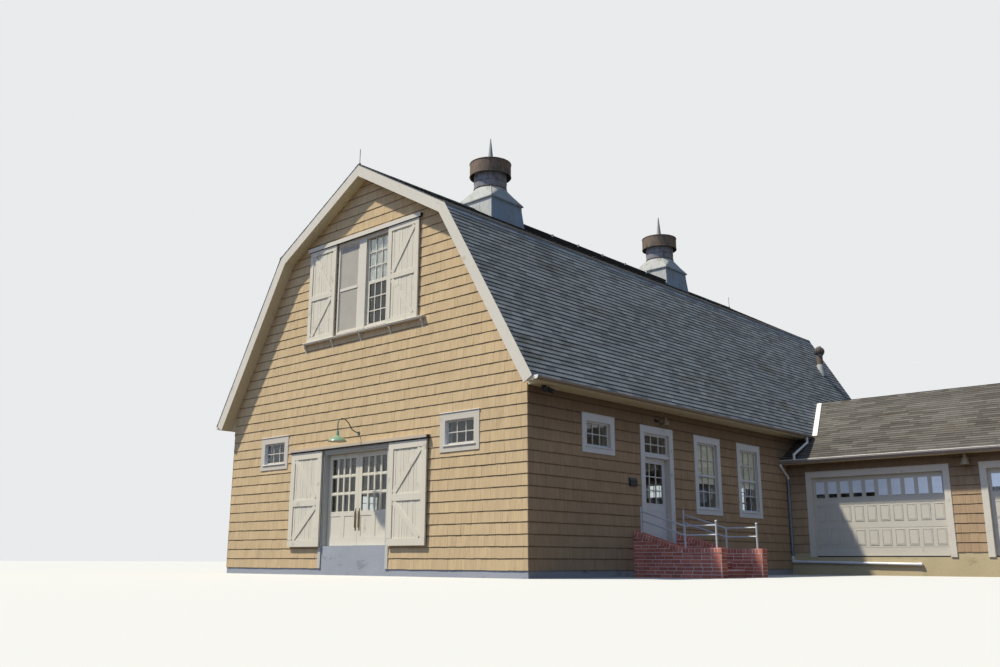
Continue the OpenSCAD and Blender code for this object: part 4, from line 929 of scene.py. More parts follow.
@dataclass
class Walls:
    """The shingled walls."""

    shell: Shell
    shingles: Course = Course(SHINGLE, 0.232, 0.15, 0.0028, 0.018, 0.15, 0.03, 0.3, 0.003)
    door_casing: float = 0.1
    loft_side: float = 0.02  # how far the shingles stay back from the loft's lining at its sides
    loft_head: float = 0.03  # and at its head
    seen_right: float = 12.0  # length of the right wall that shows before the wing's roof covers it
    openings: dict[str, list[Rect]] = field(default_factory=dict)
    places: dict[str, Matrix] = field(default_factory=dict)

    def __post_init__(self) -> None:
        """Works out the walls' frames and sorts the openings by wall."""
        s = self.shell
        self.places = {"front": turned(0, (0, s.front, 0)), "right": turned(90, (s.half, 0, 0)),
                       "back": turned(180, (0, s.back, 0)), "left": turned(-90, (-s.half, 0, 0)),
                       "wing_front": turned(0, (0, s.wing_front, 0)), "wing_end": turned(90, (s.wing_end, 0, 0))}
        self.openings = {name: [] for name in self.places}
        for node in ("window_frames", "side_door_frame", "garage_door_frames"):
            for box in solids(node):
                name = self.wall_of(box)
                self.openings[name].append(self.rect(name, box))

    def wall_of(self, box: Box) -> str:
        """Names the wall that holds a box."""
        s = self.shell
        lo, hi = box
        if lo.y < s.front:
            return "front"
        if hi.y > s.back:
            return "back"
        if lo.x < -s.half:
            return "left"
        if hi.x > s.wing_end:
            return "wing_end"
        return "right" if lo.x < s.half else "wing_front"

    def rect(self, wall: str, box: Box) -> Rect:
        """Gives a box's rectangle in a wall's plane."""
        corners = [self.places[wall].inverted() @ c for c in box]
        xs = sorted(c.x for c in corners)
        return Rect(xs[0], xs[1], box[0].z, box[1].z)

    def build(self) -> None:
        """Lays the shingles of every wall."""
        s, t = self.shell, self.shingles.thickness
        sill, track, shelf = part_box("door_sills"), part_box("door_track"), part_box("loft_shelf")
        lining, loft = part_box("front_door_frame"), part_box("loft_window_frame")
        doorway = Rect(lining[0].x - self.door_casing, lining[1].x + self.door_casing, sill[0].z, track[0].z)
        upper = Rect(loft[0].x - self.loft_side, loft[1].x + self.loft_side, shelf[1].z, loft[1].z + self.loft_head)
        gable = s.gable(t)
        # The right wall gets the darker shingles, as painted shade
        side = replace(self.shingles, finish=SIDE_SHINGLE_PAINTED_SHADE)
        wing = replace(self.shingles, finish=WING_SHINGLE)
        jobs = (
            (11, "front", "front", self.shingles, gable, (doorway, upper)),
            (12, "right", "right", side, Rect(s.front - t, s.front + self.seen_right, s.base, s.plate).outline(), ()),
            (13, "back", "back", self.shingles, gable, ()),
            (14, "left", "left", self.shingles, Rect(-s.back - t, -s.front + t, s.base, s.plate).outline(), ()),
            (21, "wing_front", "wing_front", wing,
             Rect(s.half, s.wing_end + t, s.wing_base, s.wing_plate).outline(), ()),
            (22, "wing_end", "wing_end", wing, s.wing_gable(t), ()),
            (23, "wing_back", "back", wing,
             Rect(-s.wing_end - t, -s.half, s.wing_base, s.wing_plate).outline(), ()),
        )
        for seed, name, wall, course, outline, more in jobs:
            runs = course.runs(outline, (*self.openings[wall], *more))
            course.lay(f"shingles_{name}", runs, self.places[wall], slope_clips(outline), seed)


@dataclass
class Fitting:
    """What is fitted to the shingled walls."""

    walls: Walls

    def __post_init__(self) -> None:
        """Keeps the planes of the front and the side walls."""
        self.front, self.half = self.walls.shell.front, self.walls.shell.half

    def joinery(self, wall: str = "front") -> Joinery:
        """Starts a piece in a wall's own frame."""
        return Joinery(self.walls.places[wall])


@dataclass
class Roofs:
    """Roofing, flashings and ridge caps."""

    shell: Shell
    tabs: Course = Course(ROOFING, 0.128, 0.305, 0.004, 0.008, 0.2, 0.03, 0.05, 0.0015, 0.5)
    lap: float = 0.02  # how far the first course hangs over the eave
    eave_row: float = 0.11  # height of the dark row at the eave
    knee_band: float = 0.27  # height of the dark band under the knee
    tuck: float = 0.02  # how far its lower row reaches under its upper one
    cap: float = 0.15
    sheet: float = 0.014  # thickness of the knee flashing
    below: float = 0.03  # how far it reaches down from the knee, measured level
    above: float = 0.05  # and up

    def slope(self, name: str, origin: Point, along: Point, up: Point, outline: Outline,
              course: Course, caps: bool = False, seed: int = 1) -> None:
        """Lays one slope.

        Args:
            name: The slope's name.
            origin: Its lower corner.
            along: The direction along the eave.
            up: The vector from the eave to the upper edge.
            outline: Its outline from that corner, along the eave and up the slope.
            course: How the tabs are laid.
            caps: Whether its upper edge is the ridge.
            seed: The seed of everything random.
        """
        rise, place = Vector(up).length, laid(origin, along, up)
        runs = course.runs(outline, foot=-self.lap)
        ends = end_clips(min(x for x, _ in outline), max(x for x, _ in outline))
        course.lay(f"roofing_{name}", runs, place, ends, seed)
        if caps:
            cap = replace(course, finish=replace(course.finish, name=course.finish.name + "_caps", lap=0.0),
                          exposure=self.cap, width=0.2, thickness=0.014, taper=0.9, shift=0.0, overlap=0.0)
            start, end = course.span(outline, rise)
            cap.lay(f"ridge_caps_{name}", [(start, end, rise - self.cap, self.cap + 0.004)], place, seed=seed + 50)

    def build(self) -> None:
        """Lays every slope with its flashings."""
        s = self.shell
        long = s.verge1 - s.verge0
        low, high = (s.knee_x - s.eave_x, 0, s.knee_z - s.eave_z), (-s.knee_x, 0, s.ridge_z - s.knee_z)
        for side, start, seed in ((1, s.verge0, 31), (-1, s.verge1, 41)):
            name = "right" if side > 0 else "left"
            flip = Matrix.Diagonal((side, 1, 1))
            for part, foot, way, caps in (("lower", (s.eave_x, s.eave_z), low, False),
                                          ("upper", (s.knee_x, s.knee_z), high, True)):
                self.slope(f"{part}_{name}", (side * foot[0], start, foot[1]), (0, side, 0), flip @ Vector(way),
                           Rect(0.0, long, 0.0, Vector(way).length).outline(), self.tabs, caps, seed + caps)
            self.edges(side, start, long)
        self.wing(seed=51)

    def edges(self, side: int, start: float, long: float) -> None:
        """Adds the eave course, the band under the knee and the knee flashing of one side.

        Args:
            side: 1 on the right and -1 on the left.
            start: Where the eave starts along Y.
            long: The roof's length.
        """
        s, name = self.shell, "right" if side > 0 else "left"
        low = Vector((side * (s.knee_x - s.eave_x), 0, s.knee_z - s.eave_z))
        place = laid((side * s.eave_x, start, s.eave_z), (0, side, 0), low)
        edge = replace(self.tabs, finish=ROOFING_EDGE, thickness=0.009, overlap=0.0, shift=0.0)
        band = self.knee_band
        rows = [(0.0, long, -self.lap, self.eave_row), (0.0, long, low.length - band, band / 2 + self.tuck),
                (0.0, long, low.length - band / 2, band / 2)]
        edge.lay(f"edge_courses_{name}", rows, place, seed=61 + side)
        bend = Joinery(laid((0, s.verge0 if side > 0 else s.verge1, 0), (0, side, 0), (0, 0, 1)))
        t, y, z = self.sheet, -s.knee_x, s.knee_z
        down, up = (self.below, -self.below * s.low_tan), (-self.above, self.above * s.high_tan)
        outer = [(y - down[0] - t, z + down[1]), (y - t, z + t), (y - up[0], z + up[1] + t)]
        inner = [(y - up[0], z + up[1]), (y, z), (y - down[0], z + down[1])]
        bend.sweep([*outer, *inner], 0.0, long)
        bend.make(f"knee_flashing_{name}", KNEE_METAL)

    def wing(self, seed: int) -> None:
        """Lays the wing's two slopes, cut inside the barn's roof, with the valley flashing.

        Args:
            seed: The seed of everything random.
        """
        s = self.shell
        tabs = replace(self.tabs, finish=WING_ROOFING, exposure=0.142, width=0.5, sway=0.3, thickness=0.009)
        run, rise = s.wing_ridge_y - s.wing_eave_y, s.wing_ridge_z - s.wing_eave_z
        start = s.knee_x + 0.8
        long = s.wing_verge - start
        slant = math.hypot(run, rise)
        # The barn's wall and then its roof, as places along the wing's eave at levels up the wing's slope
        wall, reach = s.half - 0.02 - start, s.eave_x - start
        foot_up = (s.eave_z - s.wing_eave_z) / rise * slant
        lean = -(s.wing_ridge_z - s.eave_z) / s.low_tan
        outline = [(wall, 0.0), (long, 0.0), (long, slant), (reach + lean - 0.05, slant), (reach - 0.05, foot_up),
                   (wall, foot_up - 0.1)]
        for k, (name, y, side) in enumerate((("front", s.wing_eave_y, 1),
                                             ("back", 2 * s.wing_ridge_y - s.wing_eave_y, -1))):
            x = start if side > 0 else s.wing_verge
            place = ((x, y, s.wing_eave_z), (side, 0, 0), Vector((0, side * run, rise)))
            shape = outline if side > 0 else [(long - x, z) for x, z in outline]
            self.slope(f"wing_{name}", *place, shape, tabs, True, seed + k)
            strip = Joinery(laid(*place))
            for dx, wide in ((0.02, 0.2), (0.13, 0.05)):
                low, high = (reach + dx, foot_up - 0.04), (reach + lean + dx, slant - 0.05)
                ends = [(u if side > 0 else long - u, v) for u, v in (low, high)]
                strip.brace(*ends, wide, -0.024 if wide > 0.1 else -0.03, -0.012)
            strip.make(f"valley_flashing_{name}", LIP)


@dataclass
class Ventilators:
    """Seams, hips, collars and spires of the two ventilators."""

    seam: float = 0.035
    lip: float = 0.022
    hood_z: float = 10.115  # level of the hood's edge
    hood: float = 0.65  # half its width
    hood_rise: float = 0.455
    box_top: float = 0.62  # half the box's width under the hood
    throat: float = 0.46  # radius of the throat
    sleeve: float = 0.468  # and of the streaked sheet around it
    sleeve_z: float = 10.575
    rings: tuple[tuple[float, float], ...] = ((10.6, 0.014), (10.79, 0.008))  # levels and sizes on that sheet
    band_high: float = 0.385  # height of the rusty band
    spire_drop: float = 0.81  # from the spire's tip down to its foot
    seams: Joinery = field(default_factory=Joinery)
    collars: Joinery = field(default_factory=Joinery)
    throats: Joinery = field(default_factory=Joinery)

    def build(self) -> None:
        """Dresses both ventilators."""
        for low, high in solids("ventilator_bands"):
            self.box_seams((low + high) / 2, high.z - self.spire_drop)
            self.band((low + high) / 2, (high.x - low.x) / 2, low.z)
        self.seams.make("ventilator_seams", ZINC, bevel=0.002)
        self.collars.make("ventilator_collars", RUST)
        self.throats.make("ventilator_throats", RUST.like("streaked_throat_sheet", "#8E8D92", "#6C6B6E",
                                                          patina="#56565E", stained=0.35))

    def box_seams(self, mid: Vector, spire_z: float) -> None:
        """Adds the box's corner seams, the hood's hips and lip, and the spire.

        Args:
            mid: The ventilator's middle.
            spire_z: Level of the spire's foot.
        """
        roof_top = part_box("roof_upper_right")[1].z
        base = [b for b in solids("ventilator_bases") if abs(b[0].y + b[1].y - 2 * mid.y) < 0.1][0]
        wide = self.box_top + ((base[1].x - base[0].x) / 2 - self.box_top) * 0.35
        reach = self.throat * math.sqrt(0.5)
        for sx, sy in ((-1, -1), (-1, 1), (1, -1), (1, 1)):
            for (x0, z0), (x1, z1), size in (
                    ((wide, roof_top - 0.3), (self.box_top, self.hood_z), 0.016),
                    ((self.hood, self.hood_z + 0.03), (reach, self.hood_z + self.hood_rise), 0.018)):
                self.seams.tube([(mid.x + sx * x, mid.y + sy * x, z) for x, z in ((x0, z0), (x1, z1))], size, 6)
        edge = self.hood + self.lip
        self.seams.place = Matrix.Translation((mid.x, mid.y, self.hood_z)) @ Matrix.Rotation(math.pi / 2, 4, "X")
        self.seams.frame(Rect(-edge, edge, -edge, edge), self.seam, -0.006, 0.03)
        self.seams.place = Matrix.Identity(4)
        self.seams.turning([(0.0, 0.0), (0.1, 0.0), (0.012, 0.82), (0.0, 0.83)], (mid.x, mid.y, spire_z), 24)

    def band(self, mid: Vector, radius: float, foot: float) -> None:
        """Adds the band's rolled rims, lid and struts, and the throat's sheet and rings.

        Args:
            mid: The ventilator's middle.
            radius: The band's radius.
            foot: Level of the band's lower edge.
        """
        rims = ((radius, foot, 0.012), (radius, foot + self.band_high, 0.014))
        for r, z, size in (*rims, *((self.sleeve, z, size) for z, size in self.rings)):
            self.collars.turning(around(8, size, (r, 0.0)), (mid.x, mid.y, z), 48)
        lid = [(0.0, 0.0), (radius * 0.96, 0.0), (radius * 0.6, 0.035), (0.16, 0.07), (0.0, 0.075)]
        boss = [(0.0, 0.0), (0.13, 0.0), (0.13, 0.03), (0.1, 0.05), (0.0, 0.05)]
        for profile, rise, sides in ((lid, 0.388, 48), (boss, 0.45, 24)):
            self.collars.turning(profile, (mid.x, mid.y, foot + rise), sides)
        for c, s in around(6):
            self.collars.tube([(mid.x + r * c, mid.y + r * s, foot + 0.12) for r in (self.throat, 0.575)], 0.012, 6)
        inner, tall = self.sleeve - 0.006, foot - self.sleeve_z + 0.025
        self.throats.turning([(inner, 0.0), (self.sleeve, 0.0), (self.sleeve, tall), (inner, tall)],
                             (mid.x, mid.y, self.sleeve_z), 48)


@dataclass
class RoofDetails:
    """Module frames, the cowl of the roof stack and the lightning rod."""

    shell: Shell
    modules: int = 6
    row_top: float = 0.18  # distance of the modules' upper edge from the ridge, down the slope
    row_foot: float = 0.72  # and of their lower edge
    between: float = 0.04  # space from one module to the next
    skirt: float = 0.012  # thickness of the sheet around the row
    deep: float = 0.131  # height of the modules' outer face above the slope
    clamp: float = 0.035  # half the width of a clamp
    rod: float = 0.42  # height of the lightning rods
    vane_count: int = 18

    def build(self) -> None:
        """Adds everything that stands on the roof apart from the ventilators."""
        s = self.shell
        angle = math.atan(s.high_tan)
        place = laid((0, 0, s.ridge_z), (0, 1, 0), (-math.cos(angle), 0, math.sin(angle)))
        frames, clamps, rods = Joinery(place), Joinery(place), Joinery()
        rows = solids("solar_panels")
        y0, y1 = min(b[0].y for b in rows), max(b[1].y for b in rows)
        pitch = (y1 - y0 + self.between) / self.modules
        foot, top = self.row_foot, self.row_top
        for rect in (Rect(y0, y1, -foot - 0.011, -foot), Rect(y0 - self.skirt, y0, -foot - 0.011, -top)):
            frames.board(rect, -self.deep, -0.003)
        frames.make("module_skirt", MODULE_FRAME)
        for i in range(1, self.modules):
            x = y0 + i * pitch - self.between / 2
            clamps.board(Rect(x - self.clamp, x + self.clamp, -foot - 0.024, -foot + 0.03), -0.16, -0.09)
        clamps.make("module_clamps", LIP)
        self.cowl()
        for y in (s.verge0 + 0.06, s.verge1 - 0.06):
            rods.tube([(0, y, s.ridge_z - 0.02), (0, y, s.ridge_z + self.rod)], 0.008, 8)
            rods.turning([(0.0, 0.0), (0.04, 0.0), (0.02, 0.05), (0.0, 0.05)], (0, y, s.ridge_z), 12)
        rods.make("lightning_rods", DARK_METAL)

    def cowl(self) -> None:
        """Adds the vanes, ring and flashing of the stack's cowl."""
        low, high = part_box("chimney_stack")
        mid, r = (low + high) / 2, (high.x - low.x) / 2
        centre, out = high.z - r, r + 0.004
        vanes = Joinery()
        arc = [math.radians(a) for a in range(-60, 61, 20)]
        for t in (2 * math.pi * k / self.vane_count for k in range(self.vane_count)):
            vanes.tube([(mid.x + out * math.cos(a) * math.cos(t + a / 3),
                         mid.y + out * math.cos(a) * math.sin(t + a / 3), centre + r * math.sin(a)) for a in arc],
                       0.008, 5)
        vanes.make("cowl_vanes", DARK_METAL)
        collar = Joinery()
        for z, size in ((centre - r * 0.86, 0.115), (centre + r * 0.9, 0.07)):
            collar.turning([(0.0, 0.0), (size, 0.0), (size, 0.03), (0.0, 0.03)], (mid.x, mid.y, z), 24)
        foot = self.shell.knee_z - (mid.x - self.shell.knee_x) * self.shell.low_tan
        collar.turning([(0.1, -0.2), (0.18, -0.2), (0.112, 0.22), (0.1, 0.22)], (mid.x, mid.y, foot), 24)
        collar.make("stack_collars", ZINC)


@dataclass
class BracedDoor:
    """A boarded door with stiles, three rails and two braces that meet at the middle rail."""

    name: str
    rect: Rect
    y0: float  # its outer face
    y1: float  # its inner face
    meets_left: bool
    place: Matrix
    body: str = "building"
    stile: float = 0.155
    rail: float = 0.16
    brace: float = 0.125
    middle: float = 0.461  # place of the middle rail, as a share of the height
    proud: float = 0.02  # how far the framing stands out before the boards
    sunk: float = 0.004  # how far the middle rail and the braces reach into them
    tuck: float = 0.035  # how far a brace's end runs under its stile
    foot: float = 0.02  # and under its rail
    board: float = 0.09
    groove: float = 0.0035

    def build(self, extra: "Joinery | None" = None, stands_for: tuple[str, ...] = ()) -> None:
        """Makes the framing and the boards behind it.

        Args:
            extra: Framing that already has other parts, such as hangers.
            stands_for: CAD nodes that the framing replaces.
        """
        r, back = self.rect, self.y0 + self.proud
        part = extra or Joinery(self.place)
        part.frame(r, self.stile, self.y0, self.y1)
        mid, half = r.z0 + (r.z1 - r.z0) * self.middle, self.rail / 2
        inner = r.grown(-self.stile)
        part.board(Rect(inner.x0, inner.x1, mid - half, mid + half), self.y0, back + self.sunk)
        near, far = (inner.x0, inner.x1) if self.meets_left else (inner.x1, inner.x0)
        tuck = self.tuck if self.meets_left else -self.tuck
        for z, end, step in ((mid + half, inner.z1, self.foot), (mid - half, inner.z0, -self.foot)):
            part.brace((near + tuck, z + step), (far - tuck, end - step), self.brace, self.y0 + 0.003,
                       back + self.sunk)
        part.make(self.name, DOOR_PAINT, self.body, 0.003, stands_for)
        boards = Course(DOOR_BOARDS, r.z1 - r.z0, self.board, self.groove, self.y1 - back - 2 * SINK)
        place = self.place @ Matrix.Translation((0, self.y1 - SINK, 0))
        boards.lay(f"{self.name}_boards", [(inner.x0 - 0.01, inner.x1 + 0.01, inner.z0 - 0.01,
                                            inner.z1 - inner.z0 + 0.02)], place, seed=7, body=self.body)


@dataclass
class BigDoorway(Fitting):
    """The sliding doors, their track, the glazed doors and the doorway's casing."""

    roller: float = 0.016
    hanger: float = 0.03  # half the width of a hanger
    hanger_places: tuple[float, ...] = (0.2, 0.8)  # as shares of the door's width
    casing_y: float = -0.028
    overlay: float = 0.009  # how far the glazed doors' stiles stand out before their panels
    stile: float = 0.115
    rail: float = 0.11  # height of the rail under the glass
    kick: float = 0.2  # and of the lowest rail
    mullion: float = 0.075  # half the width of the post between the panels
    pull_z: tuple[float, float] = (1.0, 1.51)
    sheet: float = 0.005  # thickness of the track caps' front
    worn: float = 0.003  # what the sliding doors' edges stay back, so that the closed pair doesn't touch

    def build(self) -> None:
        """Makes the whole doorway."""
        for side in ("left", "right"):
            self.slider(side)
            self.leaf(side)
        self.casing()
        self.hood()

    def slider(self, side: str) -> None:
        """Makes one sliding door with its hangers.

        Args:
            side: left or right.
        """
        lo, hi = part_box(f"sliding_door_{side}")
        y0, y1 = lo.y - self.front, hi.y - self.front
        head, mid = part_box("door_track")[0].z - 0.015, (y0 + y1) / 2
        part = self.joinery()
        for share in self.hanger_places:
            x, z = lo.x + share * (hi.x - lo.x), hi.z - self.roller
            part.board(Rect(x - self.hanger, x + self.hanger, head - 0.01, z), mid - 0.004, mid + 0.004)
            part.prism(around(20, self.roller, (x, z)), mid - 0.018, mid + 0.018)
        rect = Rect(lo.x + self.worn, hi.x - self.worn, lo.z, head)
        door = BracedDoor(f"slider_{side}", rect, y0, y1, side == "right", part.place, f"front_slider_{side}")
        door.build(part, (f"sliding_door_{side}",))

    def leaf(self, side: str) -> None:
        """Adds glazing bars, panels and a pull to one glazed door.

        Args:
            side: left or right.
        """
        body = f"glazed_leaf_{side}"
        glass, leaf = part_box(f"glazed_door_{side}_glass"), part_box(f"glazed_door_{side}")
        face = glass[0].y - self.front - REBATE
        light = Rect(glass[0].x, glass[1].x, glass[0].z, glass[1].z)
        door = Rect(light.x0 - self.stile, light.x1 + self.stile, leaf[0].z + SINK, light.z1 + self.stile)
        bars, pull = self.joinery(), self.joinery()
        bars.bars(light, 4, 3, 0.05, face - 0.004, face + 0.016)
        bars.bars(light, 4, 3, 0.078, face + 0.014, face + 0.0183)
        out = face - self.overlay
        low, high, mid = leaf[0].z + self.kick, light.z0 - self.rail, (light.x0 + light.x1) / 2
        for rect in (Rect(door.x0, light.x0, door.z0, door.z1), Rect(light.x1, door.x1, door.z0, door.z1),
                     Rect(light.x0, light.x1, light.z1, door.z1), Rect(light.x0, light.x1, high, light.z0),
                     Rect(light.x0, light.x1, door.z0, low),
                     Rect(mid - self.mullion, mid + self.mullion, low, high)):
            bars.board(rect, out, face + SINK)
        bars.make(f"{body}_bars", DOOR_PAINT, body, 0.002)
        x, (z0, z1) = door.x1 - 0.062 if side == "left" else door.x0 + 0.062, self.pull_z
        pull.board(Rect(x - 0.018, x + 0.018, z0, z1), out - 0.004, out + SINK)
        pull.tube([(x, out, z0 + 0.06), (x, out - 0.03, z0 + 0.075), (x, out - 0.03, z1 - 0.075),
                   (x, out, z1 - 0.06)], 0.01, 10)
        pull.make(f"{body}_pull", BRASS, body, 0.001)

    def casing(self) -> None:
        """Adds the boards around the doorway."""
        lo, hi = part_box("front_door_frame")
        part, head, w = self.joinery(), self.joinery(), self.walls.door_casing
        for x in (lo.x - w, hi.x):
            part.board(Rect(x, x + w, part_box("door_sills")[0].z, hi.z), self.casing_y, SINK)
        part.make("doorway_jamb_boards", SHADED_DOORWAY_TRIM, bevel=0.003)
        head.board(Rect(lo.x - w, hi.x + w, hi.z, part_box("door_track")[0].z), self.casing_y - 0.004, SINK)
        head.make("doorway_head_board", SHADED_DOORWAY_TRIM, bevel=0.003)

    def hood(self) -> None:
        """Adds the thin caps over the two tracks and the stops at the lower one's ends."""
        low, high = sorted(solids("door_track"), key=lambda b: b[0].z)[:2]
        for name, (lo, hi), drop, paint in (("slider", low, 0.045, TRACK_PAINT), ("loft", high, 0.085, TRIM)):
            y, top, cap = lo.y - self.front - 0.006, hi.z, self.joinery()
            cap.sweep([(0.0, top + 0.03), (y, top + 0.018), (y, top - drop), (y + self.sheet, top - drop),
                       (y + self.sheet, top + 0.003), (0.0, top + 0.003)], lo.x - 0.015, hi.x + 0.015)
            cap.make(f"{name}_track_cap", paint, bevel=0.001)
        ends = self.joinery()
        for x in (low[0].x - 0.006, low[1].x - 0.006):
            ends.board(Rect(x, x + 0.012, low[0].z - 0.02, low[1].z), low[0].y - self.front + 0.01, -0.03)
        ends.make("slider_track_stops", DARK_METAL, bevel=0.002)


@dataclass
class Loft(Fitting):
    """The loft's shutters, windows, head board, screen and shelf nosing."""

    bar: float = 0.026
    meeting: float = 0.035  # half the height of the sashes' meeting rails
    below_middle: float = 0.025  # how far they lie below the middle
    slat: float = 0.05  # from one slat of the blind to the next
    slat_high: float = 0.048

    def build(self) -> None:
        """Makes everything around the loft opening."""
        for name, (lo, hi) in zip(("left", "right"), solids("loft_shutters")):
            door = BracedDoor(f"loft_shutter_{name}", Rect(lo.x, hi.x, lo.z, hi.z), lo.y - self.front,
                              hi.y - self.front, name == "right", self.walls.places["front"], stile=0.125, rail=0.13,
                              brace=0.11, middle=0.476)
            door.build(stands_for=("loft_shutters",) if name == "left" else ())
        self.windows()
        self.shelf()

    def windows(self) -> None:
        """Adds sash rails, bars, the blind, the screen and the head board."""
        lo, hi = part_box("loft_window_frame")
        panes = [b for b in solids("window_glass") if b[0].z > 5.0]
        bars, blind, dark, head = self.joinery(), [], self.joinery(), self.joinery()
        for i, (a, b) in enumerate(panes):
            face, middle = a.y - self.front - REBATE, (a.z + b.z) / 2 - self.below_middle
            bars.board(Rect(a.x, b.x, middle - self.meeting, middle + self.meeting),
                       face - (0.03 if i == 0 else 0.006), face + 0.04)
            for z0, z1 in ((a.z, middle - self.meeting), (middle + self.meeting, b.z)):
                bars.bars(Rect(a.x, b.x, z0, z1), 3, 3, self.bar, face + 0.002, face + 0.036)
            blind += [(a.x, b.x, middle + self.slat * (k + 1), self.slat_high)
                      for k in range(int((b.z - middle) / self.slat))]
            if i == 0:
                edge = Rect(a.x, b.x, a.z, b.z).grown(0.03)
                bars.frame(edge, 0.05, face - 0.022, face)
                dark.board(edge.grown(-0.045), face - 0.016, face - 0.013)
            else:
                bars.frame(Rect(a.x - 0.01, b.x + 0.01, a.z - 0.01, middle), 0.045, face - 0.004, face + 0.01)
        bars.frame(Rect(lo.x, hi.x, lo.z, hi.z), 0.055, -0.012, 0.02)
        bars.make("loft_window_bars", TRIM, bevel=0.002)
        dark.make("loft_window_screen", SCREEN)
        depth = panes[1][1].y - self.front + 0.012
        SLATS.lay("loft_window_blind", blind, head.place @ Matrix.Translation((0, depth, 0)), seed=5)
        head.board(Rect(lo.x - 0.02, hi.x + 0.02, hi.z, hi.z + 0.04), -0.028, SINK)
        head.make("loft_head_board", TRIM, bevel=0.003)

    def shelf(self) -> None:
        """Adds the shelf's nosing."""
        lo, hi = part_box("loft_shelf")
        part = self.joinery()
        part.board(Rect(lo.x - 0.01, hi.x + 0.01, hi.z - 0.022, hi.z - SINK), lo.y - self.front - 0.012, 0.0)
        part.make("loft_shelf_cap", TRIM, bevel=0.003)


@dataclass
class Windows(Fitting):
    """Bars, sills, drip caps and blinds of the fixed windows."""

    casing: float = 0.13
    sash_inset: float = 0.0625  # from the opening's edge to the glass
    bar: float = 0.02
    meeting: float = 0.022  # half the height of the meeting rails between the lights
    face: float = 0.04  # depth of the sashes' outer face
    sill: float = 0.05  # how far the sills stand out
    blind_y: float = 0.09
    blind_share: float = 0.66  # how far down a tall window its blind hangs
    slat: float = 0.05

    def build(self) -> None:
        """Dresses every window."""
        bars, caps = Joinery(), Joinery()
        blinds = 0
        for box in solids("window_frames"):
            wall = self.walls.wall_of(box)
            rect = self.walls.rect(wall, box)
            bars.place = caps.place = place = self.walls.places[wall]
            opening = rect.grown(-self.casing)
            light = opening.grown(-self.sash_inset)
            tall = light.z1 - light.z0 > 1.0
            middle, face = (light.z0 + light.z1) / 2, self.face
            halves = ((light.z0, middle - self.meeting), (middle + self.meeting, light.z1))
            for z0, z1 in halves if tall else ((light.z0, light.z1),):
                bars.bars(Rect(light.x0, light.x1, z0, z1), 3, 2, self.bar, face + 0.004, face + 0.036)
            if tall:
                bars.board(Rect(light.x0, light.x1, middle - 0.024, middle + 0.024), face - 0.004, face + 0.04)
            foot = opening.z0
            caps.sweep([(-self.sill, foot - 0.012), (-self.sill, foot + 0.006), (face, foot + 0.026),
                        (face, foot - 0.012)], opening.x0 - 0.03, opening.x1 + 0.03)
            caps.drip(rect.x0, rect.x1, rect.z1, 0.045)
            if tall and wall in ("right", "left"):
                blinds += 1
                low = light.z1 - self.blind_share * (light.z1 - light.z0)
                rows = [(light.x0, light.x1, light.z1 - self.slat * (k + 1), 0.048)
                        for k in range(int((light.z1 - low) / self.slat))]
                SLATS.lay(f"window_blind_{blinds}", rows, place @ Matrix.Translation((0, self.blind_y, 0)), seed=5)
        bars.make("window_bars", WINDOW_TRIM, bevel=0.002)
        caps.make("window_sills", WINDOW_TRIM, bevel=0.002)


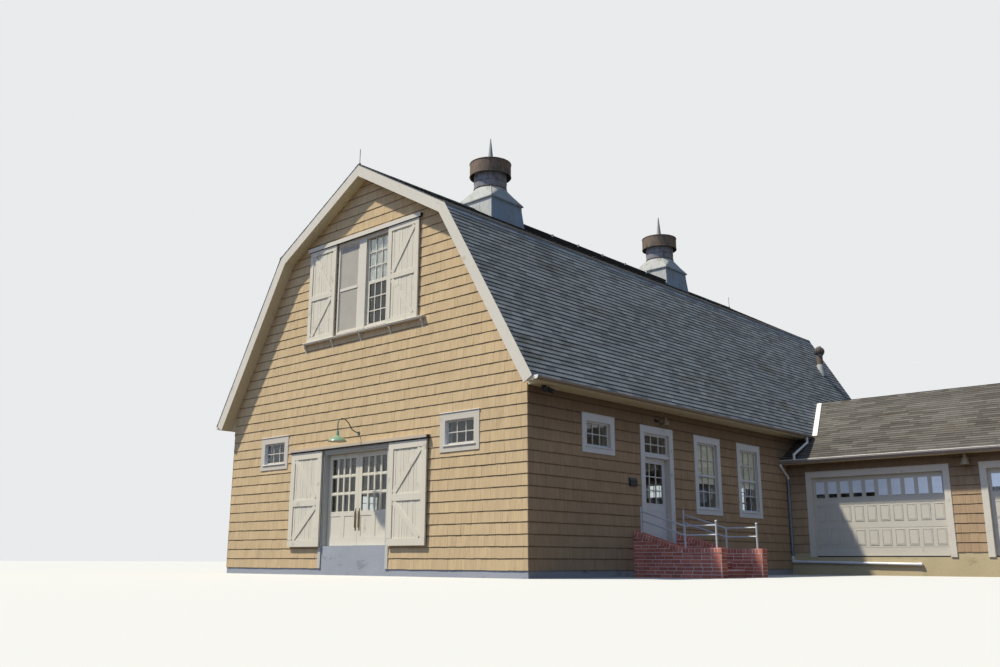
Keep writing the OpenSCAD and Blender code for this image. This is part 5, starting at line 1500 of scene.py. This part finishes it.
@dataclass
class StairWall:
    """One of the stair's two brick walls, flat at its end and sloping up to the barn, under a cap on edge."""

    number: int
    lo: Vector
    hi: Vector
    half: float  # half the barn's width
    bricks: Course
    low: float = 0.605  # level of the cap's flat part
    slope: float = 1.24  # length of the sloping part
    cap: float = 0.095  # from the cap's top down to the rows under it
    deep: float = 0.09  # height of the cap's bricks
    sunk: float = 0.003  # how far their faces lie below its top
    face: float = 0.012  # what the brick faces take at the wall's end and one side

    def build(self) -> None:
        """Lays both sides, the end and the cap."""
        i, length = self.number, self.hi.x - self.half - self.face
        inset = self.face if i == 0 else 0.0
        for name, y, way in (("near", self.lo.y + inset, 1), ("far", self.hi.y + inset - self.face, -1)):
            self.side(name, laid((self.half, y, 0), (way, 0, 0), (0, 0, 1)), way, length)
        wide = self.hi.y - self.lo.y - self.face
        end = laid((self.half + length, self.lo.y + inset, 0), (0, 1, 0), (0, 0, 1))
        self.bricks.lay(f"stair_bricks_{i}_end", self.bricks.runs(Rect(0, wide, 0, self.low - self.cap).outline()),
                        end, end_clips(0, wide), 75 + i)
        self.caps(length)

    def side(self, name: str, place: Matrix, way: int, length: float) -> None:
        """Lays one side: whole rows, then rows that end under the sloping cap.

        Args:
            name: near or far.
            place: The side's frame, from the barn's wall.
            way: 1 where X leads away from the barn, and -1 where it leads back to it.
            length: The wall's length.
        """
        flat, high, slope = self.low - self.cap, self.hi.z - self.cap, self.slope
        seam = int(flat / self.bricks.exposure) * self.bricks.exposure
        clip = ((slope, 0.0, flat), (high - flat, 0.0, slope))
        parts = ((Rect(0.0, length, 0.0, seam), ()), (Rect(slope, length, seam, flat), ()),
                 (Rect(0.0, slope, seam, high), (clip,)))
        course = replace(self.bricks, least=0.02)
        for k, (rect, clips) in enumerate(parts):
            if way < 0:
                rect = Rect(-rect.x1, -rect.x0, rect.z0, rect.z1)
                clips = tuple(((-p[0], p[1], p[2]), (-n[0], n[1], n[2])) for p, n in clips)
            course.lay(f"stair_bricks_{self.number}_{name}_{k}", course.runs(rect.outline()), place,
                       (*end_clips(rect.x0, rect.x1), *clips), 71 + self.number)

    def caps(self, length: float) -> None:
        """Lays the cap on the wall's top, its sides and its end.

        Args:
            length: The wall's length.
        """
        lo, hi, deep, i = self.lo, self.hi, self.deep, self.number
        edge = Course(BRICK, 1.0, 0.075, 0.01, 0.005)
        wide = hi.y - lo.y
        tip = laid((self.half + length + self.face, lo.y, self.low - deep - self.sunk), (0, 1, 0), (0, 0, 1))
        edge.lay(f"cap_end_{i}", [(0, wide, 0, deep)], tip, seed=83)
        slant = Vector((self.slope, 0, self.low - hi.z))
        flat = Vector((length + self.face - self.slope, 0, 0))
        for k, (x, z, way) in enumerate(((self.half, hi.z, slant), (self.half + self.slope, self.low, flat))):
            n = Vector((-way.z, 0, way.x)).normalized()
            foot = Vector((x, 0, z)) - n * (deep + self.sunk)
            for name, place, high in (
                    ("bricks", laid((x, lo.y, z), way, (0, 1, 0)), wide),
                    ("sides", laid((foot.x, lo.y, foot.z), way, n), deep),
                    ("backs", laid((foot.x + way.x, hi.y, foot.z + way.z), -way, n), deep)):
                edge.lay(f"cap_{name}_{i}_{k}", [(0, way.length, 0, high)], place, seed=81 + k)


@dataclass
class SideEntry(Fitting):
    """The side door's bars, panel and knob, and the brick stair in front of it."""

    bricks: Course = Course(BRICK, 0.0755, 0.225, 0.01, 0.005, 1.0, -0.01, 0.02, 0.0005, 0.5)
    paving: float = 0.1125  # width of a brick with its joint, laid flat
    riser: float = 0.165
    tread: float = 0.32
    landing: float = 1.08
    knob_z: float = 1.62

    def build(self) -> None:
        """Makes the door's details and the stair's brickwork."""
        self.door()
        for i, (lo, hi) in enumerate(sorted(solids("stair_walls"), key=lambda b: b[0].y)):
            StairWall(i, lo, hi, self.half, self.bricks).build()
        self.treads()

    def door(self) -> None:
        """Adds bars, mouldings, the knob and the transom's bars."""
        glass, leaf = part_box("side_door_glass"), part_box("side_door")
        face = self.half - glass[1].x - REBATE
        light = Rect(glass[0].y, glass[1].y, glass[0].z, glass[1].z)
        part, knob, top = self.joinery("right"), self.joinery("right"), self.joinery("right")
        part.bars(light, 3, 3, 0.024, face + 0.004, face + 0.036)
        part.frame(light.grown(0.012), 0.02, face - 0.006, face + 0.004)
        panel = Rect(light.x0, light.x1, leaf[0].z + 0.2, light.z0 - 0.14)
        part.frame(panel, 0.022, face - 0.008, face + 0.004)
        part.board(panel.grown(-0.06), face - 0.005, face + 0.004)
        part.make("side_door_bars", WINDOW_TRIM, "side_leaf", 0.002)
        x, z = light.x0 - 0.06, self.knob_z
        knob.board(Rect(x - 0.03, x + 0.03, z - 0.1, z + 0.1), face - 0.004, face + 0.002)
        knob.tube([(x, face, z), (x, face - 0.045, z)], 0.012, 12)
        knob.tube([(x, face - 0.04, z), (x, face - 0.052, z), (x, face - 0.068, z)], 0.028, 16)
        knob.make("side_door_knob", BRASS, "side_leaf", 0.002)
        lo, hi = [b for b in solids("window_glass") if b[1].x < self.half and b[0].x > self.half - 0.1
                  and b[0].z > glass[1].z and abs(b[0].y + b[1].y - glass[0].y - glass[1].y) < 0.4][0]
        top.bars(Rect(lo.y, hi.y, lo.z, hi.z), 3, 2, 0.022, 0.044, 0.076)
        top.make("transom_bars", WINDOW_TRIM, bevel=0.002)

    def treads(self) -> None:
        """Lays bricks on the landing, the treads and their risers."""
        lo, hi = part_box("entry_steps")
        paving, wide, edge = replace(self.bricks, exposure=self.paving), hi.y - lo.y, self.half + self.landing
        levels = [(self.half, edge, hi.z)]
        levels += [(edge + k * self.tread, edge + (k + 1) * self.tread, hi.z - (k + 1) * self.riser)
                   for k in range(2)]
        for k, (x0, x1, z) in enumerate(levels):
            top = laid((x0, hi.y, z), (0, -1, 0), (1, 0, 0))
            front = laid((x1, lo.y, z - self.riser), (0, 1, 0), (0, 0, 1))
            for name, course, place, high, seed in (("tread", paving, top, x1 - x0, 91),
                                                    ("riser", self.bricks, front, self.riser, 95)):
                course.lay(f"{name}_bricks_{k}", course.runs(Rect(0, wide, 0, high).outline()), place,
                           end_clips(0, wide), seed + k)


@dataclass
class Lamps(Fitting):
    """The gooseneck lamp, the bell lamps, the floodlights and the letter box."""

    pipe: float = 0.013
    plate: float = 0.24  # height of the gooseneck's wall plate above the shade's rim
    bell_size: tuple[float, float] = (0.19, 0.185)  # width and height at which the bell lamps are drawn
    flood_y: float = 4.54  # place of the floodlight over the side door, from the front
    flood_z: float = 3.53
    letters_y: tuple[float, float] = (3.404, 3.672)  # the letter box, from the front
    letters_z: float = 1.957

    def build(self) -> None:
        """Makes every lamp."""
        self.gooseneck()
        self.bells()
        self.floodlights()
        self.letter_box()

    def gooseneck(self) -> None:
        """Makes the lamp over the big doorway in place of its plain CAD node."""
        lo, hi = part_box("door_lamp")
        x, r, rim = (lo.x + hi.x) / 2, (hi.x - lo.x) / 2, lo.z
        out, plate = lo.y + r - self.front, rim + self.plate
        # Distance from the wall as a share of the whole, and height over the wall plate
        path = [(0, 0.008), (0.2, 0.03), (0.36, 0.078), (0.52, 0.215), (0.68, 0.29), (0.82, 0.3), (0.94, 0.265),
                (1.0, 0.18), (1.0, 0.0)]
        points = [Vector((x, share * out, plate + z)) for share, z in path]
        neck, lamp, liner = self.joinery(), self.joinery(), self.joinery()
        neck.tube([tuple(a.lerp(b, t)) for a, b in zip(points, points[1:]) for t in (0, 0.5)] + [tuple(points[-1])],
                  self.pipe, 12)
        neck.tube([(x, 0.0, plate), (x, -0.014, plate), (x, -0.02, plate)], 0.05, 24)
        neck.make("gooseneck_arm", ENAMEL_GREEN.like("dark_green_enamel", "#4B5F55", "#3A4C44"))
        shade = [(0.0, 0.245), (0.028, 0.24), (0.036, 0.225), (0.036, 0.14), (0.06, 0.118), (0.1, 0.1),
                 (r * 0.8, 0.05), (r * 0.94, 0.022), (r, 0.002), (r, -0.001), (r - 0.006, 0.0)]
        inner = [(r * 0.93, 0.016), (r * 0.79, 0.043), (0.09, 0.09), (0.05, 0.106), (0.0, 0.112)]
        lamp.turning([*shade, *inner], (x, out, rim), 40)
        lamp.make("gooseneck_lamp", ENAMEL_GREEN, stands_for=("door_lamp",))
        liner.turning([(0.0, 0.108), (0.05, 0.102), (0.09, 0.086), (r * 0.78, 0.039), (r * 0.92, 0.012),
                       (r * 0.91, 0.01), (r * 0.77, 0.036), (0.088, 0.082), (0.048, 0.098), (0.0, 0.104)],
                      (x, out, rim), 40)
        liner.turning([(0.0, 0.1), (0.018, 0.098), (0.022, 0.07), (0.035, 0.035), (0.025, 0.008), (0.0, 0.0)],
                      (x, out, rim + 0.004), 20)
        liner.make("gooseneck_liner", ENAMEL_WHITE)

    def bells(self) -> None:
        """Makes the small bell lamps in place of their plain CAD node."""
        part = Joinery()
        for lo, hi in solids("wall_lamps"):
            mid = (lo + hi) / 2
            if abs(lo.x - self.half) < 0.02:
                turn, x, y, wide = 90, self.half, mid.y, hi.y - lo.y
            else:
                turn, x, y, wide = 0, mid.x, self.walls.shell.wing_front, hi.x - lo.x
            wide, tall = wide / self.bell_size[0], (hi.z - lo.z) / self.bell_size[1]
            part.place = turned(turn, (x, y, hi.z - 0.075 * tall)) @ Matrix.Diagonal((wide, wide, tall, 1.0))
            part.tube([(0, 0.0, 0), (0, -0.012, 0), (0, -0.02, 0)], 0.045, 24)
            part.tube([(0, -0.012, 0.004), (0, -0.05, 0.028), (0, -0.09, 0.05), (0, -0.12, 0.055), (0, -0.13, 0.04)],
                      0.011, 10)
            part.turning([(0.0, 0.075), (0.02, 0.07), (0.026, 0.05), (0.028, 0.025), (0.045, 0.008), (0.06, -0.02),
                          (0.075, -0.07), (0.094, -0.108), (0.09, -0.11), (0.07, -0.07), (0.05, -0.02), (0.0, 0.01)],
                         (0, -0.13, 0), 32)
        part.make("bell_lamps", BEIGE, stands_for=("wall_lamps",))

    def floodlights(self) -> None:
        """Makes the floodlights under the corners and over the side door."""
        s, part = self.walls.shell, Joinery()
        for side in (1, -1):
            part.place = turned(0, (side * (s.half + 0.16), s.front + 0.32, s.plate))
            part.turning([(0.0, 0.0), (0.055, 0.0), (0.055, -0.02), (0.0, -0.02)], (0, 0, 0), 16)
            for way in (-1, 1):
                part.tube([(0, way * 0.03, -0.015), (side * 0.05, way * 0.07, -0.075)], 0.014, 8)
                part.tube([(side * 0.03, way * 0.055, -0.06), (side * 0.09, way * 0.1, -0.1),
                           (side * 0.15, way * 0.13, -0.13)], 0.048, 14)
        part.place = turned(90, (s.half, s.front + self.flood_y, self.flood_z))
        part.board(Rect(-0.03, 0.03, -0.03, 0.03), -0.03, 0.0)
        part.tube([(0, -0.02, 0), (0, -0.06, -0.02), (0, -0.11, -0.04)], 0.028, 12)
        part.make("floodlights", DARK_METAL, bevel=0.002)

    def letter_box(self) -> None:
        """Makes the letter box beside the side door."""
        part, z = self.joinery("right"), self.letters_z
        y0, y1 = (self.front + y for y in self.letters_y)
        part.sweep([(0.0, z), (-0.06, z), (-0.06, z + 0.113), (-0.05, z + 0.158), (-0.03, z + 0.181),
                    (0.0, z + 0.185)], y0, y1)
        part.board(Rect(y0 - 0.006, y1 + 0.006, z + 0.103, z + 0.118), -0.066, -0.02)
        part.make("letter_box", DARK_METAL, bevel=0.003)


@dataclass
class GarageDoors:
    """Sections, raised panels and lights' films of the garage doors."""

    lights: int = 10
    facing: float = 0.006
    margin: float = 0.03  # what the doorway's stops cover of the door
    joint: float = 0.004  # half the gap between two sections
    low_film: tuple[float, float] = (0.24, 0.02)  # where the films start, as a share of the left and right lights
    levels: tuple[float, ...] = (0.712, 1.212, 1.842)  # joints between the sections
    panel_rows: tuple[tuple[float, float], ...] = ((0.768, 1.175), (1.392, 1.8))

    def build(self) -> None:
        """Dresses both doors."""
        faces, seals, films = Joinery(), Joinery(), Joinery()
        panes = [b for b in solids("window_glass") if b[0].x > 5.6 and b[1].z < 2.9 and b[0].y < 6.0]
        for lo, hi in solids("garage_doors"):
            faces.place = seals.place = films.place = turned(0, (0, lo.y, 0))
            x0, x1 = lo.x + self.margin, hi.x - self.margin
            own = [b for b in panes if lo.x < b[0].x < hi.x]
            joints = [lo.z + self.margin, *self.levels, hi.z - self.margin]
            for z0, z1 in zip(joints[:-2], joints[1:-1]):
                faces.board(Rect(x0, x1, z0 + self.joint, z1 - self.joint), -self.facing, 0.0)
            self.top_section(faces, own, Rect(x0, x1, joints[-2] + self.joint, joints[-1]))
            for z0, z1 in self.panel_rows:
                for a, b in own:
                    panel = Rect(a.x - 0.004, b.x + 0.004, z0, z1)
                    faces.frame(panel, 0.014, -self.facing - 0.009, -self.facing)
                    faces.board(panel.grown(-0.03), -self.facing - 0.006, -self.facing)
            seals.board(Rect(x0, x1, lo.z + SINK, lo.z + self.margin), -0.012, 0.0)
            # The pale films on the lights are a painted reflection of the sky
            for k, (a, b) in enumerate(own):
                low = self.low_film[k >= self.lights / 2]
                films.board(Rect(a.x - 0.004, b.x + 0.004, a.z + low * (b.z - a.z), b.z), -0.0055, SINK)
        faces.make("garage_sections", GARAGE_PAINT, bevel=0.002)
        seals.make("garage_seals", DARK_METAL)
        films.make("garage_films", SKY_FILM)
        self.casings()

    def top_section(self, faces: Joinery, own: list[Box], section: Rect) -> None:
        """Adds the facing of the section with the lights, in strips around them.

        Args:
            faces: The piece that gets it.
            own: The panes of this door.
            section: The section's rectangle.
        """
        low, high = own[0][0].z, own[0][1].z
        edges = [section.x0, *[x for pane in own for x in (pane[0].x, pane[1].x)], section.x1]
        for rect in (Rect(section.x0, section.x1, section.z0, low), Rect(section.x0, section.x1, high, section.z1),
                     *[Rect(left, right, low, high) for left, right in zip(edges[::2], edges[1::2])]):
            faces.board(rect, -self.facing, 0.0)
        for a, b in own:
            faces.frame(Rect(a.x, b.x, low, high).grown(0.012), 0.008, -self.facing - 0.006, 0.0)

    def casings(self) -> None:
        """Adds drip caps over the garage doorways."""
        caps = Joinery()
        for lo, hi in solids("garage_door_frames"):
            caps.place = turned(0, (0, lo.y + 0.028, 0))
            caps.drip(lo.x, hi.x, hi.z, 0.04)
        caps.make("garage_drip_caps", TRIM)


@dataclass
class RainGoods(Fitting):
    """Lips, straps and end caps of the gutters, and the downspout's sleeve."""

    strap_pitch: float = 0.9
    round_r: float = 0.06  # radius of the barn's gutters
    wide: float = 0.11  # width of the wing's gutters
    bead: float = 0.008  # radius of a rolled edge
    sheet: float = 0.003  # thickness of straps and end caps
    pipe_r: float = 0.038
    clips: tuple[float, ...] = (0.5, 1.3, 2.1)  # levels of the downspout's straps
    foot_z: float = 0.346  # level of the pipe along the foot of the wing's wall, at its start
    fall: float = 0.06  # how far it falls to its end
    lips: Joinery = field(default_factory=Joinery)
    straps: Joinery = field(default_factory=Joinery)

    def build(self) -> None:
        """Dresses the gutters and downpipes."""
        for box in solids("gutters"):
            wide, deep, _ = box[1] - box[0]
            dress = self.trough if wide > deep else self.half_round
            dress(box)
        self.lips.make("gutter_lips", LIP, bevel=0.001)
        self.straps.make("gutter_straps", GUTTER, bevel=0.001)
        self.downspout()

    def trough(self, box: Box) -> None:
        """Adds the rolled lip, end caps and straps of one of the wing's gutters.

        Args:
            box: The gutter's box.
        """
        (lo, hi), lips, straps = box, self.lips, self.straps
        lips.place = straps.place = turned(0, (0, hi.y, 0))
        wide, foot, lip = self.wide, lo.z, hi.z
        lips.sweep(around(8, self.bead, (0.004 - wide, lip + 0.001)), lo.x, hi.x)
        profile = [(0.0, foot), (-wide * 0.7, foot), (-wide, foot + 0.6 * (lip - foot)), (-wide, lip), (0.0, lip)]
        for x in (lo.x - self.sheet, hi.x):
            lips.sweep(profile, x, x + self.sheet)
        low, high = lip + self.sheet, lip + 2 * self.sheet
        count = max(2, round((hi.x - lo.x) / self.strap_pitch))
        for x in (lo.x + (k + 0.5) * (hi.x - lo.x) / count for k in range(count)):
            straps.sweep([(-wide, low), (0.0, low), (0.0, high), (-wide, high)], x - 0.012, x + 0.012)

    def half_round(self, box: Box) -> None:
        """Adds the end cap at the front and the straps of one of the barn's half-round gutters.

        Args:
            box: The gutter's box.
        """
        (lo, hi), lips, straps = box, self.lips, self.straps
        r, lip = self.round_r, hi.z
        out, top = r + self.bead, lip + 0.012
        lips.place = straps.place = turned(0, (lo.x + r if hi.x > 0 else hi.x - r, 0, 0))
        arc = [math.pi + math.pi * k / 16 for k in range(17)]
        rim = [(out * math.cos(t), lip + out * math.sin(t)) for t in arc]
        lips.prism([(-out, top), *rim, (out, top)], lo.y - 0.006, lo.y + 0.004)
        count = round((hi.y - lo.y) / self.strap_pitch)
        for y in (lo.y + (k + 0.5) * (hi.y - lo.y) / count for k in range(count)):
            straps.board(Rect(-r, r, lip, lip + self.sheet), y - 0.01, y + 0.01)

    def downspout(self) -> None:
        """Adds a dark blue-grey sleeve on the upright pipe, with its straps and joints."""
        s, r = self.walls.shell, self.pipe_r
        low = min(solids("downpipes"), key=lambda b: b[0].z)
        x, y, end = low[0].x + r * 1.12, s.wing_front - r * 1.2, low[1].x
        top = s.wing_plate - 0.42
        sleeve, joints = Joinery(), Joinery()
        sleeve.tube([(x, y, z) for z in (0.5, 1.2, 2.0, top)], r + 0.003, 20)
        for z in (*self.clips, top):
            sleeve.tube([(x, y, z), (x, y, z + 0.03)], r + 0.008, 20)
        sleeve.make("downspout_sleeve", PIPE_DARK)
        drop = self.fall / (end - x)
        joints.tube([(x, y, 0.37), (x, y, 0.46)], r + 0.006, 20)
        for dx, long in ((0.05, 0.09), (1.55, 0.1), (end - x - 0.1, 0.09)):
            joints.tube([(x + d, y, self.foot_z - drop * d) for d in (dx, dx + long)], r + 0.006, 20)
        joints.make("pipe_joints", PIPE)


@dataclass(frozen=True)
class FarLight:
    """A light from far away."""

    name: str
    way: Point  # the way the light goes
    strength: float
    size: float  # the angle that it fills, in degrees
    colour: Point

    def shine(self) -> None:
        """Sets the light."""
        data = bpy.data.lights.new(self.name, "SUN")
        data.energy, data.angle, data.color = self.strength, math.radians(self.size), self.colour
        light = placed(self.name, data)
        light.rotation_mode = "QUATERNION"
        light.rotation_quaternion = Vector(self.way).to_track_quat("-Z", "Y")


@dataclass
class Studio:
    """Floor, backdrop, lights and camera."""

    yaw: float = 42.343  # of the view, from +Y towards -X, in degrees
    pitch: float = 13.440
    roll: float = 0.204
    eye: Point = (17.415, -23.052, 0.320)
    lens: float = 34.356
    film: float = 36.0
    far: float = 2000.0
    key: FarLight = FarLight("key", (0.443, 0.5, -1.0), 5.1, 2.5, (1.0, 0.95, 0.82))
    soft: FarLight = FarLight("soft", (0.05, 1.0, -0.45), 0.85, 70.0, (0.38, 0.57, 1.0))
    sky: float = 0.27
    sky_colour: Point = (0.68, 0.9, 1.25)
    floor_size: float = 600.0

    def camera(self) -> None:
        """Sets the camera."""
        data = bpy.data.cameras.new("camera")
        data.sensor_width, data.lens, data.clip_end = self.film, self.lens, self.far
        camera = placed("camera", data)
        camera.matrix_world = (Matrix.Translation(self.eye) @ Matrix.Rotation(math.radians(self.yaw), 4, "Z")
                               @ Matrix.Rotation(math.radians(90 + self.pitch), 4, "X")
                               @ Matrix.Rotation(math.radians(self.roll), 4, "Z"))
        bpy.context.scene.camera = camera

    def lights(self) -> None:
        """Sets the sun-like key light, the soft light from the front and the even light from all around."""
        self.key.shine()
        self.soft.shine()
        world = bpy.data.worlds.new("even_light")
        bpy.context.scene.world = world
        tree = emptied(world)
        seen = self.seen(tree, ("Is Camera Ray", "Is Glossy Ray", "Is Transmission Ray"))
        sky = add(tree, "ShaderNodeBackground", ((*self.sky_colour, 1.0), self.sky))
        behind = add(tree, "ShaderNodeBackground", (linear("#E9EBEC"), 1.0))
        add(tree, "ShaderNodeOutputWorld", (add(tree, "ShaderNodeMixShader", (seen, sky, behind)),))

    @staticmethod
    def seen(tree: NodeTree, kinds: tuple[str, ...]) -> Socket | Node:
        """Gives 1 for rays of the named kinds."""
        path = add(tree, "ShaderNodeLightPath").outputs
        total = path[kinds[0]]
        for kind in kinds[1:]:
            total = add(tree, MATH, (total, path[kind]), operation="MAXIMUM")
        return total

    def floor(self) -> None:
        """Makes the pale floor, which gives the object less light than it shows the camera."""
        half = self.floor_size / 2
        mesh = bpy.data.meshes.new("studio_floor")
        mesh.from_pydata([(-half, -half, 0), (half, -half, 0), (half, half, 0), (-half, half, 0)], [], [(0, 1, 2, 3)])
        material = bpy.data.materials.new("studio_floor")
        tree = emptied(material)
        seen = self.seen(tree, ("Is Camera Ray",))
        colour = add(tree, "ShaderNodeMix", {0: seen, 6: linear("#6C645A"), 7: linear("#CBCAC7")},
                     data_type="RGBA").outputs[2]
        add(tree, "ShaderNodeOutputMaterial", (add(tree, "ShaderNodeBsdfDiffuse", {"Color": colour}),))
        mesh.materials.append(material)
        placed("studio_floor", mesh)

    def build(self) -> None:
        """Sets up the studio."""
        bpy.context.scene.view_settings.view_transform = "Standard"
        self.camera()
        self.lights()
        self.floor()


def dress_nodes() -> None:
    """Gives every CAD node its finish."""
    for finish, names in NODE_FINISHES.items():
        for name in names:
            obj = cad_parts[name]
            if not obj.material_slots:
                obj.data.materials.append(None)
            for slot in obj.material_slots:
                slot.material = finish.material()


def main() -> None:
    """Builds the pieces in order."""
    logging.basicConfig(level=logging.INFO, format="%(name)s %(message)s")
    shell = Shell()
    walls = Walls(shell)
    Studio().build()
    dress_nodes()
    for part in (walls, Roofs(shell), Ventilators(), RoofDetails(shell), BigDoorway(walls), Loft(walls),
                 Windows(walls), SideEntry(walls), Lamps(walls), GarageDoors(), RainGoods(walls)):
        part.build()


if __name__ == "__main__":
    main()
